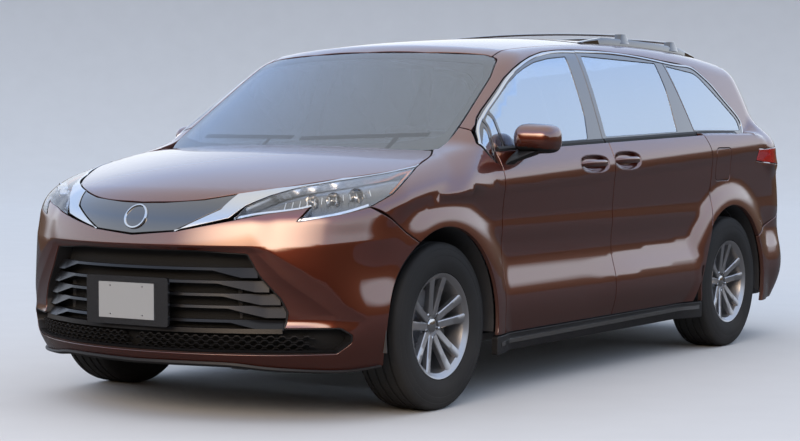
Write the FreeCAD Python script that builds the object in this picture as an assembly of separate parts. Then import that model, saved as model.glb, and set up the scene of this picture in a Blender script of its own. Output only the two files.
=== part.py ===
"""Full-size family minivan with conventional front doors, sliding rear doors and a tailgate.

The van stands on its four tyres. The origin is at the middle of its length and width, on the ground.
+X is the van's left, +Y its rear and +Z up. All lengths are millimetres.

The outer form is two lofts through horizontal rings: the lower body from sill to belt line, and the
greenhouse from belt line to roof. Both are trimmed on top, by the bonnet crown and the roof crown.
Every outer panel is a slice of that one skin, cut by its real shut lines, so that panels stay flush.
"""

import math
import os

import FreeCAD
import Part

V = FreeCAD.Vector

# Driving dimensions
overall_length = 5174.0
wheelbase = 3060.0
front_overhang = 970.0
half_width = 997.0
tyre_radius = 368.5
tyre_width = 235.0
rim_radius = 233.5
front_track = 1710.0
rear_track = 1725.0

panel_gap = 5.0
moving_gap = 6.0
skin = 20.0
door_wall = 80.0
frame_wall = 45.0
glass_inset = 5.0
glass_wall = 6.0
seat_gap = 0.3
tyre_gap = 0.8

front_y = -overall_length / 2
rear_y = overall_length / 2
front_axle_y = front_y + front_overhang
rear_axle_y = front_axle_y + wheelbase
axle_z = tyre_radius

arch_radius = 432.0
arch_lip_radius = 500.0
arch_lip_depth = 60.0
arch_inner_x = 520.0

door_seam_y = -1100.0
door_hinge_y = -1050.0
door_hinge_x = 930.0
door_hinge_radius = 74.0
door_rear_y = 0.0
door_inner_x = 665.0
door_frame_front_y = -1110.0
door_pin_radius = 8.0
door_pin_top = 330.0
sill_z = 290.0
belt_front_z = 1135.0
belt_rear_z = 1212.0

hood_hinge_y = -1384.0
hood_hinge_z = 1104.0
hood_hinge_x = 775.0
hood_pin_radius = 5.0
hood_wall = 26.0
tailgate_hinge_y = 2050.0
tailgate_hinge_z = 1625.0
tailgate_hinge_radius = 95.0
tailgate_pin_radius = 7.0
tailgate_bottom_z = 745.0
tailgate_wall = 60.0
tailgate_half_low = 715.0
tailgate_half_high = 665.0

# Rings of the lower body, from the sill up.
# height, half width, nose set back, nose bow radius, nose corner radius, tail set back, bow, corner
LOWER_RINGS = (
    (195.0, 925.0, 100.0, 1250.0, 400.0, 120.0, 2600.0, 260.0),
    (330.0, 968.0, 12.0, 1250.0, 430.0, 35.0, 2600.0, 300.0),
    (480.0, 984.0, 0.0, 1250.0, 440.0, 4.0, 2600.0, 320.0),
    (610.0, 958.0, 6.0, 1250.0, 440.0, 0.0, 2600.0, 320.0),
    (760.0, 966.0, 32.0, 1300.0, 440.0, 14.0, 2600.0, 320.0),
    (920.0, 984.0, 85.0, 1400.0, 450.0, 45.0, 2600.0, 320.0),
    (1090.0, 952.0, 170.0, 1500.0, 460.0, 85.0, 2600.0, 310.0),
    (1230.0, 902.0, 270.0, 1600.0, 460.0, 130.0, 2600.0, 300.0),
)

# Rings of the greenhouse. height, half width, windscreen y, bow, corner, rear window y, bow, corner
GLASS_RINGS = (
    (960.0, 972.0, -1815.0, 1750.0, 270.0, 2515.0, 2600.0, 300.0),
    (1160.0, 912.0, -1500.0, 1700.0, 250.0, 2465.0, 2500.0, 290.0),
    (1380.0, 843.0, -1155.0, 1620.0, 220.0, 2385.0, 2400.0, 270.0),
    (1580.0, 766.0, -845.0, 1550.0, 190.0, 2295.0, 2300.0, 250.0),
    (1760.0, 675.0, -570.0, 1500.0, 170.0, 2205.0, 2200.0, 230.0),
)

# Crown of the bonnet. y, height on the centre line, height at the crown's half span
HOOD_SPAN = 1000.0
HOOD_CROWN = (
    (-2760.0, 745.0, 520.0),
    (-2540.0, 905.0, 715.0),
    (-2330.0, 1003.0, 840.0),
    (-2030.0, 1083.0, 958.0),
    (-1720.0, 1136.0, 1046.0),
    (-1400.0, 1172.0, 1112.0),
    (-1080.0, 1200.0, 1165.0),
)

# Crown of the roof. y, height on the centre line, height at the crown's half span
ROOF_SPAN = 750.0
ROOF_CROWN = (
    (-1300.0, 1535.0, 1475.0),
    (-750.0, 1640.0, 1580.0),
    (-250.0, 1692.0, 1632.0),
    (400.0, 1728.0, 1668.0),
    (1100.0, 1740.0, 1680.0),
    (1700.0, 1728.0, 1662.0),
    (2200.0, 1690.0, 1615.0),
    (2700.0, 1640.0, 1560.0),
)


def rounded_wire(corners, place):
    """A closed wire through corners (a, b, radius), each rounded by a tangent arc where it has a radius."""
    count = len(corners)
    runs = []
    for i in range(count):
        a, b, r = corners[i]
        here = (a, b)
        before = corners[i - 1][:2]
        after = corners[(i + 1) % count][:2]
        d1 = (before[0] - a, before[1] - b)
        d2 = (after[0] - a, after[1] - b)
        l1, l2 = math.hypot(*d1), math.hypot(*d2)
        u1 = (d1[0] / l1, d1[1] / l1)
        u2 = (d2[0] / l2, d2[1] / l2)
        cosine = max(-1.0, min(1.0, u1[0] * u2[0] + u1[1] * u2[1]))
        half = math.acos(cosine) / 2
        if r <= 0 or half > math.radians(89.0):
            runs.append((here, None, here))
            continue
        cut = min(r / math.tan(half), 0.48 * l1, 0.48 * l2)
        radius = cut * math.tan(half)
        start = (a + u1[0] * cut, b + u1[1] * cut)
        end = (a + u2[0] * cut, b + u2[1] * cut)
        bis = (u1[0] + u2[0], u1[1] + u2[1])
        size = math.hypot(*bis)
        reach = radius / math.sin(half) - radius
        mid = (a + bis[0] / size * reach, b + bis[1] / size * reach)
        runs.append((start, mid, end))
    edges = []
    for i in range(count):
        start, mid, end = runs[i]
        if mid:
            edges.append(Part.Arc(place(*start), place(*mid), place(*end)).toShape())
        following = runs[(i + 1) % count][0]
        if math.hypot(following[0] - end[0], following[1] - end[1]) > 1e-6:
            edges.append(Part.LineSegment(place(*end), place(*following)).toShape())
    return Part.Wire(edges)


def with_radius(points, radius=0.0):
    return [p if len(p) == 3 else (p[0], p[1], radius) for p in points]


def prism_x(points, x0, x1, radius=0.0):
    """A side-view outline of (y, z) or (y, z, radius) corners, extruded across the van."""
    wire = rounded_wire(with_radius(points, radius), lambda a, b: V(x0, a, b))
    return Part.Face(wire).extrude(V(x1 - x0, 0, 0))


def prism_y(points, y0, y1, radius=0.0):
    """A front-view outline of (x, z) corners, extruded along the van."""
    wire = rounded_wire(with_radius(points, radius), lambda a, b: V(a, y0, b))
    return Part.Face(wire).extrude(V(0, y1 - y0, 0))


def prism_z(points, z0, z1, radius=0.0):
    """A plan outline of (x, y) corners, extruded upwards."""
    wire = rounded_wire(with_radius(points, radius), lambda a, b: V(a, b, z0))
    return Part.Face(wire).extrude(V(0, 0, z1 - z0))


def box(x0, x1, y0, y1, z0, z1):
    return Part.makeBox(x1 - x0, y1 - y0, z1 - z0, V(x0, y0, z0))


def soft_box(x0, x1, y0, y1, z0, z1, radius):
    """A box with its long edges along X rounded."""
    return prism_x([(y0, z0), (y1, z0), (y1, z1), (y0, z1)], x0, x1, radius)


def moved(shape, x=0.0, y=0.0, z=0.0):
    copy = shape.copy()
    copy.translate(V(x, y, z))
    return copy


def mirrored(shape):
    return shape.mirror(V(0, 0, 0), V(1, 0, 0))


def solids_of(shape, least=2000.0):
    """The solids of a shape, without slivers."""
    return [s for s in shape.Solids if abs(s.Volume) > least]


def tidy(shape):
    solids = solids_of(shape)
    return solids[0] if len(solids) == 1 else Part.makeCompound(solids)


def both_sides(left):
    """A piece and its mirror image, joined on the centre line where they meet there."""
    whole = left.fuse(mirrored(left)).removeSplitter()
    return tidy(whole)


def plan_ring(z, width, nose_y, nose_bow, nose_corner, tail_y, tail_bow, tail_corner):
    """A closed horizontal ring: nose arc, tangent corner arcs, straight sides and tail arc."""

    def corner(bow, radius):
        turn = math.acos((width - radius) / (bow - radius))
        return turn, (bow - radius) * math.sin(turn)

    turn_f, rise_f = corner(nose_bow, nose_corner)
    turn_r, rise_r = corner(tail_bow, tail_corner)
    side_f = nose_y + nose_bow - rise_f
    side_r = tail_y - tail_bow + rise_r

    def on_corner(side, radius, angle, way):
        return (width - radius + radius * math.cos(angle), side + way * radius * math.sin(angle))

    nose_end = on_corner(side_f, nose_corner, turn_f, -1)
    nose_mid = on_corner(side_f, nose_corner, turn_f / 2, -1)
    tail_end = on_corner(side_r, tail_corner, turn_r, 1)
    tail_mid = on_corner(side_r, tail_corner, turn_r / 2, 1)

    def p(point, way=1):
        return V(way * point[0], point[1], z)

    edges = [
        Part.Arc(p(nose_end, -1), V(0, nose_y, z), p(nose_end)),
        Part.Arc(p(nose_end), p(nose_mid), p((width, side_f))),
        Part.LineSegment(p((width, side_f)), p((width, side_r))),
        Part.Arc(p((width, side_r)), p(tail_mid), p(tail_end)),
        Part.Arc(p(tail_end), V(0, tail_y, z), p(tail_end, -1)),
        Part.Arc(p(tail_end, -1), p(tail_mid, -1), p((width, side_r), -1)),
        Part.LineSegment(p((width, side_r), -1), p((width, side_f), -1)),
        Part.Arc(p((width, side_f), -1), p(nose_mid, -1), p(nose_end, -1)),
    ]
    return Part.Wire([e.toShape() for e in edges])


def lower_loft(inset=0.0):
    rings = []
    for z, w, nose, bow_f, corner_f, tail, bow_r, corner_r in LOWER_RINGS:
        rings.append(
            plan_ring(
                z, w - inset, front_y + nose + inset, bow_f - inset, corner_f - inset,
                rear_y - tail - inset, bow_r - inset, corner_r - inset,
            )
        )
    return Part.makeLoft(rings, True, False)


def glass_loft(inset=0.0):
    rings = []
    for z, w, screen, bow_f, corner_f, back, bow_r, corner_r in GLASS_RINGS:
        rings.append(
            plan_ring(
                z, w - inset, screen + 1.4 * inset, bow_f - inset, corner_f - inset,
                back - 1.05 * inset, bow_r - inset, corner_r - inset,
            )
        )
    return Part.makeLoft(rings, True, False)


def crown_cutter(stations, span, top, drop=0.0):
    """What lies above a crowned surface: a loft of sections, each an arc below a flat top."""
    reach = 1.6
    wires = []
    for y, centre, side in stations:
        low = centre - (centre - side) * reach * reach - drop
        a, b = V(-span * reach, y, low), V(span * reach, y, low)
        c, d = V(span * reach, y, top), V(-span * reach, y, top)
        edges = [
            Part.Arc(a, V(0, y, centre - drop), b).toShape(),
            Part.LineSegment(b, c).toShape(),
            Part.LineSegment(c, d).toShape(),
            Part.LineSegment(d, a).toShape(),
        ]
        wires.append(Part.Wire(edges))
    return Part.makeLoft(wires, True, False)


def cylinder_x(y, z, radius, x0, x1):
    return Part.makeCylinder(radius, x1 - x0, V(x0, y, z), V(1, 0, 0))


def cylinder_z(x, y, radius, z0=0.0, z1=2200.0):
    return Part.makeCylinder(radius, z1 - z0, V(x, y, z0), V(0, 0, 1))


def revolve_x(profile, y, z):
    """A closed profile of (x, radius) corners, turned about the axle line at y, z."""
    points = [V(x, y, z + r) for x, r in profile]
    face = Part.Face(Part.makePolygon(points + points[:1]))
    return face.revolve(V(0, y, z), V(1, 0, 0), 360)


def arch_lip(axle_y):
    """The flared lip round a wheel opening on the left side."""
    inner = half_width - arch_lip_depth
    profile = [
        (inner, arch_radius - 4),
        (half_width, arch_radius - 4),
        (half_width, arch_radius + 12),
        (half_width - 20, arch_lip_radius),
        (inner, arch_lip_radius + 6),
    ]
    return revolve_x(profile, axle_y, axle_z)


hood_cutter = crown_cutter(HOOD_CROWN, HOOD_SPAN, 1700.0)
hood_under_cutter = crown_cutter(HOOD_CROWN, HOOD_SPAN, 1700.0, skin)
roof_cutter = crown_cutter(ROOF_CROWN, ROOF_SPAN, 2100.0)
roof_under_cutter = crown_cutter(ROOF_CROWN, ROOF_SPAN, 2100.0, frame_wall)

lower_plain = lower_loft().cut(hood_cutter)
lower_inner = lower_loft(skin).cut(hood_under_cutter)
green_outer = glass_loft().cut(roof_cutter)
green_inner = glass_loft(frame_wall).cut(roof_under_cutter)
left_side = box(0, 1300, -3000, 3000, 0, 2200)
lower_left = lower_plain.common(left_side)

wheel_wells = [
    cylinder_x(y, axle_z, arch_radius, arch_inner_x, 1200) for y in (front_axle_y, rear_axle_y)
]
below_sill = box(800, 1200, -3000, 3000, 0, 205)
lips = [arch_lip(y).cut(below_sill) for y in (front_axle_y, rear_axle_y)]
lower_left = lower_left.fuse(lips)
lower_outer = lower_left


def belt_z(y):
    share = (y - door_seam_y) / (1250.0 - door_seam_y)
    return belt_front_z + (belt_rear_z - belt_front_z) * min(1.0, max(0.0, share))


# Shut lines in side view: (y, z) or (y, z, corner radius)
DOOR_TOP = (
    (door_seam_y, 1240.0), (-1060.0, 1332.0), (-1000.0, 1372.0), (-870.0, 1440.0), (-735.0, 1505.0),
    (-610.0, 1550.0), (-490.0, 1583.0), (-325.0, 1614.0), (-160.0, 1629.0), (door_rear_y + 40, 1634.0),
)
FRONT_DOOR = ((door_rear_y + 40, sill_z), (door_seam_y - 60, sill_z), (door_seam_y - 60, 1190.0)) + DOOR_TOP
SLIDING_DOOR = (
    (-60.0, sill_z), (935.0, sill_z + 5), (1012.0, 395.0, 60.0), (1165.0, 705.0, 120.0),
    (1190.0, 1080.0, 60.0), (1128.0, 1212.0), (1000.0, 1575.0), (975.0, 1652.0), (-60.0, 1664.0),
)
FRONT_WINDOW = (
    (-1066.0, 1156.0), (-1052.0, 1300.0), (-985.0, 1345.0), (-860.0, 1409.0), (-725.0, 1473.0),
    (-600.0, 1517.0), (-480.0, 1550.0), (-320.0, 1580.0), (-125.0, 1596.0), (-125.0, 1300.0), (-158.0, 1180.0),
)
FRONT_PANE = ((-1242.0, 1166.0), (-1150.0, 1258.0), (-1150.0, 1118.0), (-1178.0, 1112.0))
SLIDING_WINDOW = (
    (45.0, 1192.0), (45.0, 1604.0), (893.0, 1592.0), (915.0, 1450.0), (905.0, 1218.0),
)
QUARTER_WINDOW = (
    (1128.0, 1228.0), (1020.0, 1580.0), (1385.0, 1548.0, 60.0), (1640.0, 1385.0), (1790.0, 1285.0, 40.0),
    (1798.0, 1228.0, 15.0),
)
SIDE_WINDOWS = (FRONT_WINDOW, FRONT_PANE, SLIDING_WINDOW, QUARTER_WINDOW)
FUEL_LID = ((1240.0, 945.0, 35.0), (1438.0, 945.0, 35.0), (1438.0, 1128.0, 35.0), (1240.0, 1128.0, 35.0))
DOOR_SECTION = (
    (780, 250), (780, 1100), (860, 1130), (783, 1380), (706, 1580), (680, 1650), (1300, 1650), (1300, 250),
)


def grown(points, by):
    """An outline with every corner moved out by a distance, along the average of its sides' normals."""
    area = 0.0
    count = len(points)
    for i in range(count):
        a, b = points[i], points[(i + 1) % count]
        area += a[0] * b[1] - b[0] * a[1]
    way = 1.0 if area > 0 else -1.0
    out = []
    for i in range(count):
        p0, p1, p2 = points[i - 1], points[i], points[(i + 1) % count]
        n = []
        for a, b in ((p0, p1), (p1, p2)):
            d = (b[0] - a[0], b[1] - a[1])
            size = math.hypot(*d)
            n.append((way * d[1] / size, -way * d[0] / size))
        bis = (n[0][0] + n[1][0], n[0][1] + n[1][1])
        scale = 2 * by / (bis[0] ** 2 + bis[1] ** 2)
        radius = max(0.0, p1[2] + by) if len(p1) == 3 and p1[2] > 0 else 0.0
        out.append((p1[0] + bis[0] * scale, p1[1] + bis[1] * scale, radius))
    return out


def door_sweep(grow=0.0):
    """Where the front door may lie: its front and rear edges are arcs about its own hinge."""
    front = cylinder_z(door_hinge_x, door_hinge_y, door_hinge_radius + grow)
    behind = box(0, 1300, door_hinge_y, 1500, 0, 2200)
    frame = box(0, 862, door_frame_front_y - grow, door_hinge_y, 1150 - grow, 2200)
    reach = math.hypot(door_rear_y - door_hinge_y, 55.0) + grow
    rear = cylinder_z(door_hinge_x, door_hinge_y, reach)
    return front.fuse([behind, frame]).common(rear)


belt_line = ((-3000.0, belt_front_z), (door_seam_y, belt_front_z), (1250.0, belt_rear_z), (3000.0, belt_rear_z))
below_belt = prism_x(((-3000.0, 0.0), (3000.0, 0.0)) + belt_line[::-1], 0, 1300)
above_belt = prism_x(((-3000.0, 2200.0), (3000.0, 2200.0)) + belt_line[::-1], 0, 1300)
belt_overlap = 60.0
wall_inner_low = moved(lower_plain, x=-door_wall)
green_left = green_outer.common(box(500, 1300, -3000, 3000, 0, 2200))
upper_region = moved(above_belt, z=-belt_overlap)


def wall_in(region, flared=True):
    """The side's thick wall inside a region: the lower body up to the belt, the greenhouse above it."""
    outer = lower_outer if flared else lower_plain
    low = outer.common(region.common(below_belt)).cut(wall_inner_low)
    high = green_left.common(region.common(upper_region)).cut(green_inner)
    return low.fuse(high)


def glass_pane(outline):
    """A side window, set in from the skin by a named depth, clear of its frame."""
    pane = moved(green_left, x=-glass_inset).common(prism_x(grown(outline, -seat_gap), 510, 1300))
    return tidy(pane.cut(moved(green_outer, x=-glass_inset - glass_wall)))


def front_door():
    region = prism_x(grown(FRONT_DOOR, -panel_gap / 2), door_inner_x, 1300).common(door_sweep())
    region = region.common(prism_y(DOOR_SECTION, -1300, 100))
    door = wall_in(region, flared=False).cut(prism_x(FRONT_WINDOW, 0, 1300))
    bore = cylinder_z(door_hinge_x, door_hinge_y, door_pin_radius + seat_gap, 200, door_pin_top + seat_gap)
    return tidy(door.cut(bore))


def front_door_opening():
    return prism_x(grown(FRONT_DOOR, panel_gap / 2), 0, 1300).common(door_sweep(moving_gap))


def sliding_door():
    region = prism_x(grown(SLIDING_DOOR, -panel_gap / 2), door_inner_x, 1300)
    reach = math.hypot(door_rear_y - door_hinge_y, 55.0) + moving_gap
    hole = [cylinder_z(door_hinge_x, door_hinge_y, reach), wheel_wells[1], prism_x(SLIDING_WINDOW, 0, 1300)]
    return tidy(wall_in(region.cut(hole)))


# Corners of the left headlamp, as points on the outer skin
HEADLAMP = (
    (480, -2430, 862), (579, -2400, 843), (709, -2328, 846), (744, -2297, 867), (748, -2294, 896),
    (844, -2220, 897), (923, -2116, 912), (951, -2046, 944), (971, -1931, 988), (919, -1759, 1050),
    (896, -1723, 1062), (817, -1884, 1040), (749, -2011, 1020), (607, -2175, 1000), (536, -2262, 984),
    (426, -2379, 956),
)
NOSE_PANEL = (
    (0, 786), (190, 800), (480, 845), (600, 838), (600, 880), (470, 985), (-470, 985), (-600, 880),
    (-600, 838), (-480, 845), (-190, 800),
)
HOOD_LEFT = (
    (0, -1552), (300, -1540), (560, -1490), (700, -1455), (785, -1420), (842, -1527), (876, -1660),
    (892, -1725), (817, -1884), (749, -2011), (607, -2175), (536, -2262), (426, -2379), (300, -2430),
    (119, -2472), (0, -2480),
)
FRONT_BUMPER = (
    (-2750, 150), (-2750, 1000), (-2450, 1000), (-2118, 908), (-1965, 812), (-1835, 752), (-1780, 690),
    (-1780, 150),
)
FENDER = (
    (-1100, 150), (-1100, 1078), (-1262, 1088), (-1345, 1165), (-2300, 1165), (-2300, 990), (-2118, 908),
    (-1965, 812), (-1835, 752), (-1780, 690), (-1780, 150),
)
GRILLE = (
    (-545, 695), (545, 695), (575, 560), (660, 450), (600, 385), (400, 345), (-400, 345), (-600, 385),
    (-660, 450), (-575, 560),
)
WINDSHIELD = (
    (-772, 1170), (-560, 1142), (0, 1128), (560, 1142), (772, 1170), (640, 1566), (330, 1600), (0, 1610),
    (-330, 1600), (-640, 1566),
)
TAILGATE = (
    (-715, 745), (715, 745), (715, 1050), (668, 1200), (668, 1900), (-668, 1900), (-668, 1200), (-715, 1050),
)
REAR_WINDOW = ((-600, 1180, 60), (600, 1180, 60), (575, 1560, 60), (-575, 1560, 60))
REAR_BUMPER = (
    (1780, 150), (1780, 600), (1812, 618), (2120, 705), (2300, 742), (2750, 742), (2750, 150),
)
TAIL_LAMP = ((1805, 1050), (2700, 985), (2700, 1118), (1838, 1118))
SIDE_SKIRT = ((-1097, 150), (1008, 150), (1008, 284), (-1097, 284))
GRILLE_SLATS = (648.0, 596.0, 543.0, 490.0, 437.0)

headlamp_angle = 35.0


def prism_corner(points, near, far, grow=0.0):
    """A prism looking at the front left corner: its outline is given by points on the skin."""
    angle = math.radians(headlamp_angle)
    across = (math.cos(angle), math.sin(angle))
    into = V(-math.sin(angle), math.cos(angle), 0)
    flat = [(x * across[0] + y * across[1], z) for x, y, z in points]
    if grow:
        flat = grown(flat, grow)

    def place(a, b):
        return V(across[0] * a, across[1] * a, b) + into * near

    wire = rounded_wire(with_radius(flat), place)
    return Part.Face(wire).extrude(into * (far - near))


def corner_prism(grow=0.0):
    return prism_corner(HEADLAMP, -2600.0, -1850.0, grow)


def hood_outline(grow=0.0):
    left = [(x, y) for x, y in HOOD_LEFT]
    right = [(-x, y) for x, y in HOOD_LEFT[-2:0:-1]]
    points = left + right
    return prism_z(grown(points, grow), 700, 1400)


skin_left = lower_outer.cut([lower_inner] + wheel_wells)


def hood():
    region = hood_outline(-panel_gap / 2).common(crown_cutter(HOOD_CROWN, HOOD_SPAN, 1700.0, hood_wall))
    layer = lower_plain.common(region)
    outline = [(-1500.0, 1080.0), (-1500.0, 1122.0), (hood_hinge_y - 20, 1124.0), (hood_hinge_y + 12, 1116.0, 10.0),
               (hood_hinge_y + 12, hood_hinge_z - 12, 10.0), (-1440.0, 1080.0)]
    tab = prism_x(outline, hood_hinge_x - 6, hood_hinge_x + 6).cut(hood_pin(seat_gap))
    tab = tab.common(lower_plain)
    return tidy(layer.fuse([tab, mirrored(tab)]))


def hood_pin(grow=0.0):
    return cylinder_x(hood_hinge_y, hood_hinge_z, hood_pin_radius + grow, hood_hinge_x - 8, hood_hinge_x + 16)


def fender():
    region = prism_x(grown(FENDER, -panel_gap / 4), 780, 1300)
    holes = [
        hood_outline(panel_gap / 2), corner_prism(seat_gap), box(0, 1300, door_hinge_y, 0, 0, 2000),
        cylinder_z(door_hinge_x, door_hinge_y, door_hinge_radius + moving_gap), box(0, 802, -1430, 0, 900, 1300),
    ]
    return tidy(skin_left.common(region.cut(holes)))


def front_bumper():
    region = prism_x(grown(FRONT_BUMPER, -panel_gap / 4), -10, 1300)
    holes = [
        hood_outline(2 * panel_gap), corner_prism(seat_gap), prism_y(grown(NOSE_PANEL, seat_gap), -2700, -2200),
        prism_y(GRILLE, -2700, -2200),
    ]
    return both_sides(skin_left.common(region.cut(holes)))


def nose_panel():
    region = prism_y(NOSE_PANEL, -2700, -2200).cut([hood_outline(2 * panel_gap), corner_prism(seat_gap)])
    return both_sides(skin_left.common(region))


def headlamp():
    return tidy(skin_left.common(corner_prism().cut(hood_outline(panel_gap))))


def grille():
    """Bars that follow the nose's bow, before a back plate."""
    opening = prism_y(grown(GRILLE, -seat_gap), -2700, -2300)
    bars = [box(-700, 700, -2700, -2300, z - 7, z + 7) for z in GRILLE_SLATS]
    ring = opening.cut(prism_y(grown(GRILLE, -16), -2700, -2300))
    rear = moved(lower_plain, y=62.0)
    face = ring.fuse([b.common(opening) for b in bars]).common(moved(lower_plain, y=4.0)).cut(rear)
    plate = opening.common(moved(lower_plain, y=50.0)).cut(rear)
    return tidy(plate.fuse(face))


plate_half_width = 152.5
plate_half_height = 76.0
plate_thickness = 3.0
plate_hole_radius = 3.5
plate_holes_across = 177.8
plate_holes_apart = 120.65
front_plate_z = 506.0
rear_plate_z = 905.0


def plate_bores(z, y0, y1, rows=(-1, 1)):
    """The bolt holes of a number plate."""
    return [
        Part.makeCylinder(plate_hole_radius, y1 - y0, V(side * plate_holes_across / 2, y0, z + row * plate_holes_apart / 2), V(0, 1, 0))
        for side in (-1, 1) for row in rows
    ]


def front_plate():
    low, high = front_plate_z - plate_half_height, front_plate_z + plate_half_height
    back = front_y + plate_thickness
    flat = box(-plate_half_width, plate_half_width, front_y, back, low, high)
    posts = [box(x - 12, x + 12, back, front_y + 52.0, 500, 524) for x in (-89, 89)]
    return flat.fuse(posts).cut(plate_bores(front_plate_z, front_y - 1, back + 1))


def windshield():
    pane = moved(green_outer, y=glass_inset).common(prism_y(grown(WINDSHIELD, -seat_gap), -2000, 200))
    return tidy(pane.cut(moved(green_outer, y=glass_inset + glass_wall)))


def cowl_panel():
    """The dark panel between the bonnet and the windscreen, seated on the bulkhead."""
    region = box(-750, 750, -2000, -1348, 1040, 1260).cut([prism_y(WINDSHIELD, -2000, 200)])
    wall = green_outer.common(region).cut([green_inner, hood_sweep()])
    return tidy(wall)


def hood_sweep():
    """The room that the bonnet's rear edge takes as it turns about its hinge line."""
    below = crown_cutter(HOOD_CROWN, HOOD_SPAN, 1700.0, hood_wall + moving_gap)
    return hood_outline(28.0).common(below)


def roof_edge_prism():
    return box(-door_inner_x, door_inner_x, -1300, 2400, 1400, 1900)


def tailgate_sweep(grow=0.0):
    """Where the tailgate may lie: behind its hinge line, or within an arc about it."""
    disc = cylinder_x(tailgate_hinge_y, tailgate_hinge_z, tailgate_hinge_radius + grow, -900, 900)
    behind = box(-900, 900, tailgate_hinge_y, 2800, 0, 2000)
    low = tailgate_bottom_z - grow
    shape = prism_y(grown(TAILGATE, grow), 1900, 2800)
    return disc.fuse(behind).common(shape).common(box(-900, 900, 1800, 2800, low, 2000))


def tailgate():
    region = tailgate_sweep(-panel_gap / 2)
    low = lower_plain.common(region.common(box(-900, 900, 2000, 2800, 0, 1215)))
    low = low.cut([moved(lower_plain, y=-tailgate_wall), tailgate_lamp_shape(seat_gap), prism_y(REAR_WINDOW, 2100, 2800)])
    low = low.cut(plate_bores(rear_plate_z, 2500, 2700, (0,)))
    bores = [tailgate_pin(seat_gap), mirrored(tailgate_pin(seat_gap))]
    high_region = region.common(box(-900, 900, 1900, 2800, 1150, 2000))
    high_region = high_region.cut([prism_y(REAR_WINDOW, 2100, 2800)] + bores)
    high = green_outer.common(high_region).cut(moved(green_outer, y=-tailgate_wall).cut(roof_under_cutter))
    return tidy(low.fuse(high))


def tailgate_pin(grow=0.0):
    return cylinder_x(
        tailgate_hinge_y, tailgate_hinge_z, tailgate_pin_radius + grow, tailgate_half_high - 14 - grow, 712.0
    )


def tailgate_glass():
    pane = moved(green_outer, y=-glass_inset).common(prism_y(grown(REAR_WINDOW, -seat_gap), 2100, 2800))
    return tidy(pane.cut(moved(green_outer, y=-glass_inset - glass_wall)))


def tailgate_lamp_shape(grow=0.0):
    ends = box(-680 - grow, 680 + grow, 2200, 2800, 900, 1200).cut(box(-380 + grow, 380 - grow, 2200, 2800, 900, 1200))
    region = prism_x(grown(TAIL_LAMP, grow), -1100, 1100).common(ends)
    return lower_plain.common(region).cut(moved(lower_plain, y=-skin - grow))


def tail_lamp(grow=0.0):
    region = prism_x(grown(TAIL_LAMP, grow), 600, 1300).cut(tailgate_sweep(panel_gap))
    return tidy(lower_plain.common(region).cut(moved(lower_plain, x=-skin - grow, y=-skin - grow)))


def rear_bumper():
    region = prism_x(grown(REAR_BUMPER, -panel_gap / 4), -10, 1300)
    region = region.cut(box(-10, 720, 2000, 2800, tailgate_bottom_z - panel_gap, 900))
    return both_sides(skin_left.common(region))


def side_skirt():
    return tidy(skin_left.common(prism_x(SIDE_SKIRT, 600, 1300)))


def body_side():
    """Rocker, A pillar, rear quarter and D pillar of the left side, round the door openings."""
    sliding_hole = prism_x(grown(SLIDING_DOOR, panel_gap / 2), 0, 1300)
    split_y = 600.0
    sill_line = SIDE_SKIRT[2][1] + seat_gap
    front = box(door_inner_x, 1300, -1366, split_y, sill_line, 2200).cut([
        front_door_opening(), sliding_hole, box(0, 1300, -1900, -1130, 0, 1070), prism_y(WINDSHIELD, -2000, 200),
        prism_x(grown(FENDER, panel_gap / 4), 0, 1300), prism_x(FRONT_PANE, 0, 1300),
    ])
    rear = box(door_inner_x, 1300, split_y, 3000, sill_line, 2200).cut([
        sliding_hole, prism_x(QUARTER_WINDOW, 0, 1300), tailgate_sweep(panel_gap), wheel_wells[1],
        prism_x(grown(REAR_BUMPER, panel_gap / 4), 0, 1300),
    ])
    sill = box(door_inner_x, 1300, -1130, 1100, 195, sill_line).cut(wheel_wells[1])
    behind = wall_in(rear).cut(tail_lamp(seat_gap))
    below = lower_loft(skin + seat_gap).common(sill).cut(wall_inner_low)
    pins = [tailgate_pin(), cylinder_z(door_hinge_x, door_hinge_y, door_pin_radius, sill_line + 0.2, door_pin_top)]
    return behind.fuse([wall_in(front, flared=False), below, centre_pillar(), hinge_pillar()] + pins)


def centre_pillar():
    """The pillar behind both doors, from the floor to the roof's underside."""
    gap = 8.0
    low_layer = moved(lower_plain, x=-door_wall - gap).common(box(600, 1300, -60, 60, floor_top + seat_gap, 1205))
    low_layer = low_layer.cut(moved(lower_plain, x=-door_wall - gap - 50))
    high_layer = moved(green_left, x=-frame_wall - gap).common(box(600, 1300, -60, 60, 1188, 1600))
    high_layer = high_layer.cut(moved(green_outer, x=-frame_wall - gap - 62))
    head = box(600, door_inner_x - gap, -60, 60, 1585, 1700)
    head = head.cut(crown_cutter(ROOF_CROWN, ROOF_SPAN, 2100.0, frame_wall + seat_gap))
    return low_layer.fuse([high_layer, head])


def hinge_pillar():
    front = -1212 + 14.0
    post = box(800, 872, front, -1142, floor_top + seat_gap, 1118)
    top = box(800, 872, -1300, -1142, 1080, 1118)
    return post.fuse(top)


def roof_panel():
    holes = [
        prism_y(WINDSHIELD, -2000, -100), box(-700, 700, -1300, -700, 1300, 1560), tailgate_sweep(panel_gap),
        box(-1000, 1000, 2040, 2800, 0, 2200),
    ]
    return tidy(green_outer.common(roof_edge_prism().cut(holes)).cut(green_inner))


def roof_rail():
    outline = [(165, 1640), (235, 1742), (420, 1766), (1000, 1775), (1560, 1768), (1690, 1738), (1745, 1640)]
    slot = [(290, 1640), (330, 1728), (440, 1742), (1000, 1750), (1520, 1744), (1590, 1728), (1640, 1640)]
    bar = prism_x(outline, 600, 636).cut(prism_x(slot, 590, 650))
    bar = bar.fuse(prism_x([(920, 1640), (930, 1750), (1010, 1752), (1030, 1640)], 600, 636))
    return tidy(bar.cut(moved(green_outer, z=seat_gap)))


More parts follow.
